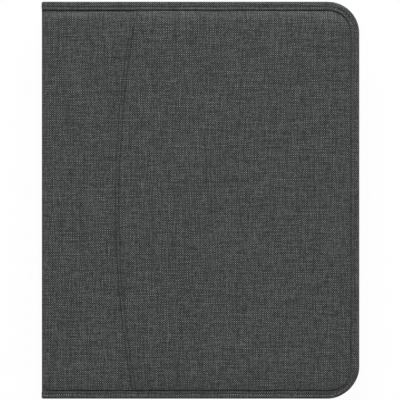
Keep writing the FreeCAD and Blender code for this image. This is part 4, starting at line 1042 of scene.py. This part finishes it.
def make_zip():
    """Tape and teeth of each cover; the offsets set the two rows half a pitch apart."""
    for cover, leg, way, start, offset in (
        ("back", BACK_LINING_HIGH, 1, TAPE_LEFT, 0.5),
        ("front", FRONT_LINING_LOW, -1, FRONT_CHAIN_LEFT, 1.0),
    ):
        body = cover + "_cover"
        tape = Form()
        walk = [(station, TAPE_SECTION) for station in edge_stations(start)]
        if start > TAPE_LEFT:
            lower = [(station, LOW_TAPE_SECTION) for station in straight_edge((TAPE_LEFT, start), -1.0)]
            upper = [(station, LOW_TAPE_SECTION) for station in straight_edge((start, TAPE_LEFT), 1.0)]
            walk = lower + walk + upper
        tape.loft([[at_inset(station, d, leg + way * h) for d, h in section] for station, section in walk])
        woven = tape.piece(cover + "_zip_tape", [ZIP_TAPE], body, "zip_tape", ["zipper_tape_" + cover])
        chain = Form()
        for station in edge_walk(CHAIN_INSET, TAPE_LEFT, TOOTH_PITCH, offset):
            if station[0][0] > start + TOOTH_ROOM:
                make_tooth(chain, station, leg + way * TAPE_EDGE, way)
        teeth = chain.piece(cover + "_zip_teeth", [ZIP_TEETH], body, "zip_teeth", ["zipper_teeth_" + cover])


# Pocket and strips inside

SLAB_STEP = 4.0


def slab(form, low, high, rows):
    """Soft flat panel on a surface; rows give the height by the distance in from its edge."""
    reach = rows[-1][0]
    marks = [distance for distance, _ in rows]

    def lines(a, b):
        flat = spaced(a + reach, b - reach, SLAB_STEP)[1:-1]
        return [a + d for d in marks] + flat + [b - d for d in reversed(marks)]

    def height(x, y):
        return low.z + height_at(rows, min(x - low.x, high.x - x, y - low.y, high.y - y))

    xs, ys = lines(low.x, high.x), lines(low.y, high.y)
    form.sheet([[(x, y, height(x, y)) for x in xs] for y in ys], [[(x, y, low.z) for x in xs] for y in ys])


# Height of the base pocket's cloth by the distance in from its edge: a turned edge and the dip of its
# stitch row
BASE_POCKET_STITCH = 2.2
BASE_POCKET_DIP = 0.36
BASE_POCKET_ROWS = [(0.0, 0.12), (0.3, 0.48), (0.9, 0.66), (1.5, 0.62), (1.9, 0.42),
                    (BASE_POCKET_STITCH, BASE_POCKET_DIP), (2.5, 0.42), (3.2, 0.62), (5.0, 0.68)]
BASE_POCKET_STITCH_START = 3.5


def make_inner_pocket():
    low, high = mm_box("inner_pocket")
    pocket = Form()
    slab(pocket, low, high, BASE_POCKET_ROWS)
    panel = pocket.piece("base_pocket", [LINING], "back_cover", "lining", ["inner_pocket"])
    seam = Form()
    up = Vector((0.0, 0.0, 1.0))
    sewn = low.z + BASE_POCKET_DIP
    inset, start = BASE_POCKET_STITCH, BASE_POCKET_STITCH_START
    for x in (low.x + inset, high.x - inset):
        for y in spaced(low.y + start, high.y - start, STITCH_PITCH):
            stitch(seam, Vector((x, y, sewn)), Vector((0.0, 1.0, 0.0)), up)
    for y in (low.y + inset, high.y - inset):
        for x in spaced(low.x + start, high.x - start, STITCH_PITCH):
            stitch(seam, Vector((x, y, sewn)), Vector((1.0, 0.0, 0.0)), up)
    stitches = seam.piece("base_pocket_stitches", [THREAD], "back_cover", "lining")


SAME_CORNER = 0.001


def solids_of(node):
    """Box of each separate solid of a CAD node, in millimetres, in order along Y."""
    surface = bmesh.new()
    surface.from_mesh(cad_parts[node].data)
    bmesh.ops.remove_doubles(surface, verts=surface.verts, dist=SAME_CORNER * MM)
    seen, boxes = set(), []
    for first in surface.verts:
        if first in seen:
            continue
        island, queue = [], [first]
        seen.add(first)
        while queue:
            corner = queue.pop()
            island.append(corner.co / MM)
            for edge in corner.link_edges:
                other = edge.other_vert(corner)
                if other not in seen:
                    seen.add(other)
                    queue.append(other)
        boxes.append((Vector([min(p[k] for p in island) for k in range(3)]),
                      Vector([max(p[k] for p in island) for k in range(3)])))
    surface.free()
    return sorted(boxes, key=lambda pair: pair[0].y)


# Rounded edge of the pile: height by the distance in, and where it reaches its whole height
PILE_EDGE = [(0.0, 0.35), (0.4, 0.62)]
PILE_FULL = 1.0


def make_fastening_strips():
    strips = Form()
    width, length = 0.0, 0.0
    for low, high in solids_of("keyboard_fastening_strips"):
        slab(strips, low, high, PILE_EDGE + [(PILE_FULL, high.z - low.z)])
        width, length = high.x - low.x, length + high.y - low.y
    piece = strips.piece("pile_fastening_strips", [PILE], "back_cover", "fastening_strip",
                         ["keyboard_fastening_strips"])


# Keys

# A cap's outline at each height: share of the height, how far it draws in, then its corner radius. The dish
# rows run in over the top: share of its size, then depth
CAP_ROWS = [(0.0, 0.0, 0.9), (0.72, 0.34, 0.95), (0.88, 0.44, 1.0), (0.96, 0.56, 1.0), (0.995, 0.74, 1.0),
            (1.0, 0.98, 1.0)]
DISH_ROWS = [(0.80, 0.03), (0.55, 0.07), (0.28, 0.10)]
DISH_DEPTH = 0.11
# A pressed cap stops this far above the membrane
CAP_CLEARANCE = 0.05
CAP_CORNER_STEPS = 4
# Edges of a cap look sharp from this angle on, in degrees
CAP_SHARP = 35.0


def rounded_outline(low, high, inset, radius, z):
    points = []
    for side_x, side_y, first in ((1, 1, 0.0), (-1, 1, 0.5), (-1, -1, 1.0), (1, -1, 1.5)):
        x = (high.x if side_x > 0 else low.x) - side_x * (inset + radius)
        y = (high.y if side_y > 0 else low.y) - side_y * (inset + radius)
        for k in range(CAP_CORNER_STEPS + 1):
            a = math.pi * (first + 0.5 * k / CAP_CORNER_STEPS)
            points.append(Vector((x + radius * math.cos(a), y + radius * math.sin(a), z)))
    return points


def make_cap(form, low, high):
    base = low.z + CAP_CLEARANCE
    rings = [rounded_outline(low, high, inset, radius, base + share * (high.z - base))
             for share, inset, radius in CAP_ROWS]
    middle = Vector(((low.x + high.x) / 2, (low.y + high.y) / 2, 0.0))
    rim = rings[-1]
    for share, dip in DISH_ROWS:
        rings.append([Vector((middle.x + (p.x - middle.x) * share, middle.y + (p.y - middle.y) * share,
                              high.z - dip)) for p in rim])
    form.loft(rings)


LEGENDS = {
    "function_row": ["esc"] + ["F%d" % number for number in range(1, 13)] + ["del"],
    "number_row": list("1234567890-=") + ["back"],
    "upper_row": ["tab"] + list("QWERTYUIOP[") + ["]"],
    "home_row": ["caps"] + list("ASDFGHJKL;") + ["enter"],
    "lower_row": ["shift"] + list("ZXCVBNM,.") + ["shift"],
    "bottom_row": ["ctrl", "fn", "alt", "/", "alt", "<", "^", "v", ">"],
}
KEY_BODIES = {
    "function_row": "function_keys", "number_row": "number_keys", "upper_row": "upper_keys",
    "home_row": "home_keys", "lower_row": "lower_keys", "bottom_row": "bottom_keys",
    "space_bar": "space_key",
}
# Legends: size of a letter, size of a word unless the key is too narrow for it, thickness of the ink and
# its lift out of the dish
LETTER_SIZE = 4.6
WORD_SIZE = 2.9
WORD_FIT = 0.42
INK = 0.02
INK_LIFT = 0.03
INK_STEPS = 3


def print_legend(form, text, low, high):
    """Thin printed legend on a cap, read from the opening edge of the case."""
    lettering = bpy.data.curves.new("legend", "FONT")
    lettering.body = text
    lettering.align_x = "CENTER"
    lettering.align_y = "CENTER"
    lettering.resolution_u = INK_STEPS
    lettering.size = LETTER_SIZE if len(text) == 1 else min(WORD_SIZE, (high.x - low.x) * WORD_FIT)
    lettering.extrude = INK
    holder = bpy.data.objects.new("legend", lettering)
    printed = bpy.data.meshes.new_from_object(holder)
    x, y = (low.x + high.x) / 2, (low.y + high.y) / 2
    base = high.z - DISH_DEPTH + INK_LIFT
    corners = form.add_points([Vector((x - v.co.y, y + v.co.x, base + v.co.z)) for v in printed.vertices])
    for face in printed.polygons:
        form.add_face([corners[k] for k in face.vertices], finish=1)
    bpy.data.objects.remove(holder)
    bpy.data.curves.remove(lettering)
    bpy.data.meshes.remove(printed)


def make_keys():
    for row, body in KEY_BODIES.items():
        caps = Form()
        boxes = solids_of(row)
        for low, high in boxes:
            make_cap(caps, low, high)
        for text, (low, high) in zip(LEGENDS.get(row, []), boxes):
            print_legend(caps, text, low, high)
        caps.piece(row + "_caps", [KEY_PLASTIC, LEGEND], body, "key_caps", [row], sharp=CAP_SHARP)


# Solids kept from the CAD

EASED_ANGLE = 40.0
EASED_STEPS = 2


def ease_edges(node, width_mm):
    """Round a CAD node's edges as its mould or press does."""
    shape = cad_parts[node]
    weld = shape.modifiers.new("weld", "WELD")
    weld.merge_threshold = SAME_CORNER * MM
    bevel = shape.modifiers.new("eased_edges", "BEVEL")
    bevel.width = width_mm * MM
    bevel.segments = EASED_STEPS
    bevel.limit_method = "ANGLE"
    bevel.angle_limit = math.radians(EASED_ANGLE)
    bevel.use_clamp_overlap = True
    shape.modifiers.new("face_normals", "WEIGHTED_NORMAL")


def dress_cad_nodes():
    """Finishes of the CAD nodes whose own shape shows, each with the width of its eased edges in mm."""
    finishes = {
        "zipper_slider": (ZIP_METAL, 0.3), "zipper_pull": (ZIP_METAL, 0.25),
        "keyboard_tray": (HOUSING, 0.0), "keyboard_frame": (HOUSING, 0.12), "keyboard_battery": (FOIL, 0.4),
        "keyboard_circuit_board": (BOARD, 0.0), "key_membrane": (MEMBRANE, 0.0),
        "keyboard_screws": (STEEL, 0.0), "charging_port": (STEEL, 0.0), "status_lights": (LIGHT_PIPE, 0.08),
        "power_switch": (KEY_PLASTIC, 0.15), "pairing_button": (KEY_PLASTIC, 0.15),
        "holder_hinge_leaf": (STEEL, 0.0), "holder_hinge_pin": (STEEL, 0.1), "hinge_rivets": (STEEL, 0.15),
        "holder_plate": (HOLDER, 0.35), "fixed_hooks": (HOLDER, 0.35), "clamp_jaw": (HOLDER, 0.35),
        "arm_retainers": (HOLDER, 0.1), "retainer_screws": (STEEL, 0.0),
        "hook_pads": (RUBBER, 0.15), "clamp_pad": (RUBBER, 0.15), "spine_board": (GREYBOARD, 0.0),
    }
    for node, (finish, edge) in finishes.items():
        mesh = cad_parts[node].data
        mesh.materials.clear()
        mesh.materials.append(finish)
        if edge:
            ease_edges(node, edge)


# Studio

# The studio, in metres: a white floor just under the case, and an even sky that looks white but lights
# dimly
FLOOR_REACH = 4.0
FLOOR_LEVEL = -0.0003
FLOOR_GLOW = 0.95
SKY_LIGHT = 0.37
WHITE = (1.0, 1.0, 1.0, 1.0)
# One broad lamp stands beyond the top edge
LAMP_SIZE = (4.9, 1.9)
LAMP_WATTS = 690.0
LAMP_PLACE = Vector((0.27, 5.86, 3.81))
# The camera looks straight down. The width of a pixel is taken at the height of the case's outline, and the
# case lies a little off the picture's middle, in millimetres
LENS = 135.0
SENSOR = 36.0
FAR_END = 20.0
PICTURE = 400
MM_PER_PIXEL = 0.6796
OUTLINE_HEIGHT = 28.5
PICTURE_MIDDLE = (-0.34, 0.13)


def seen_share(tree):
    """One for what is seen straight, in a gloss or through something clear, and nothing for light cast."""
    rays = add_node(tree, "LightPath")
    seen = rays.outputs["Is Camera Ray"]
    for ray in ("Is Glossy Ray", "Is Transmission Ray"):
        seen = add_node(tree, "Math", {0: seen, 1: rays.outputs[ray]}, operation="MAXIMUM")
    return seen


def lay_floor():
    """Matt white paper that keeps a soft shadow."""
    finish, tree = new_finish("matt_white_paper")
    paper = add_node(tree, "BsdfDiffuse", {"Color": linear("#F2F2F2")})
    white = add_node(tree, "Emission", {"Color": WHITE, "Strength": 1.0})
    share = add_node(tree, "Math", {0: seen_share(tree), 1: FLOOR_GLOW}, operation="MULTIPLY")
    mixed = add_node(tree, "MixShader", {0: share, 1: paper, 2: white})
    add_node(tree, "OutputMaterial", {"Surface": mixed})
    mesh = bpy.data.meshes.new("floor")
    corners = [(x * FLOOR_REACH, y * FLOOR_REACH, FLOOR_LEVEL)
               for x, y in ((-1, -1), (1, -1), (1, 1), (-1, 1))]
    mesh.from_pydata(corners, [], [(0, 1, 2, 3)])
    mesh.materials.append(finish)
    floor = bpy.data.objects.new("floor", mesh)
    bpy.context.scene.collection.objects.link(floor)


def light_studio():
    sky = bpy.data.worlds.new("studio")
    sky.use_nodes = True
    tree = sky.node_tree
    tree.nodes.clear()
    dim = add_node(tree, "Background", {"Color": WHITE, "Strength": SKY_LIGHT})
    bright = add_node(tree, "Background", {"Color": WHITE, "Strength": 1.0})
    mixed = add_node(tree, "MixShader", {0: seen_share(tree), 1: dim, 2: bright})
    add_node(tree, "OutputWorld", {"Surface": mixed})
    bpy.context.scene.world = sky

    lamp = bpy.data.lights.new("top_softbox", "AREA")
    lamp.shape = "RECTANGLE"
    lamp.size, lamp.size_y = LAMP_SIZE
    lamp.energy = LAMP_WATTS
    softbox = bpy.data.objects.new("top_softbox", lamp)
    softbox.location = LAMP_PLACE
    softbox.rotation_euler = (-LAMP_PLACE).to_track_quat("-Z", "Y").to_euler()
    bpy.context.scene.collection.objects.link(softbox)


def place_camera():
    camera = bpy.data.cameras.new("camera")
    camera.lens = LENS
    camera.sensor_width = SENSOR
    camera.clip_end = FAR_END
    distance = MM_PER_PIXEL * PICTURE * LENS / SENSOR
    viewpoint = bpy.data.objects.new("camera", camera)
    viewpoint.location = Vector((*PICTURE_MIDDLE, OUTLINE_HEIGHT + distance)) * MM
    bpy.context.scene.collection.objects.link(viewpoint)
    bpy.context.scene.camera = viewpoint
    bpy.context.scene.view_settings.view_transform = "Standard"


# The whole scene

make_front_cover()
make_back_cover()
make_bindings()
make_spine()
make_zip()
make_inner_pocket()
make_fastening_strips()
make_keys()
dress_cad_nodes()
lay_floor()
light_studio()
place_camera()
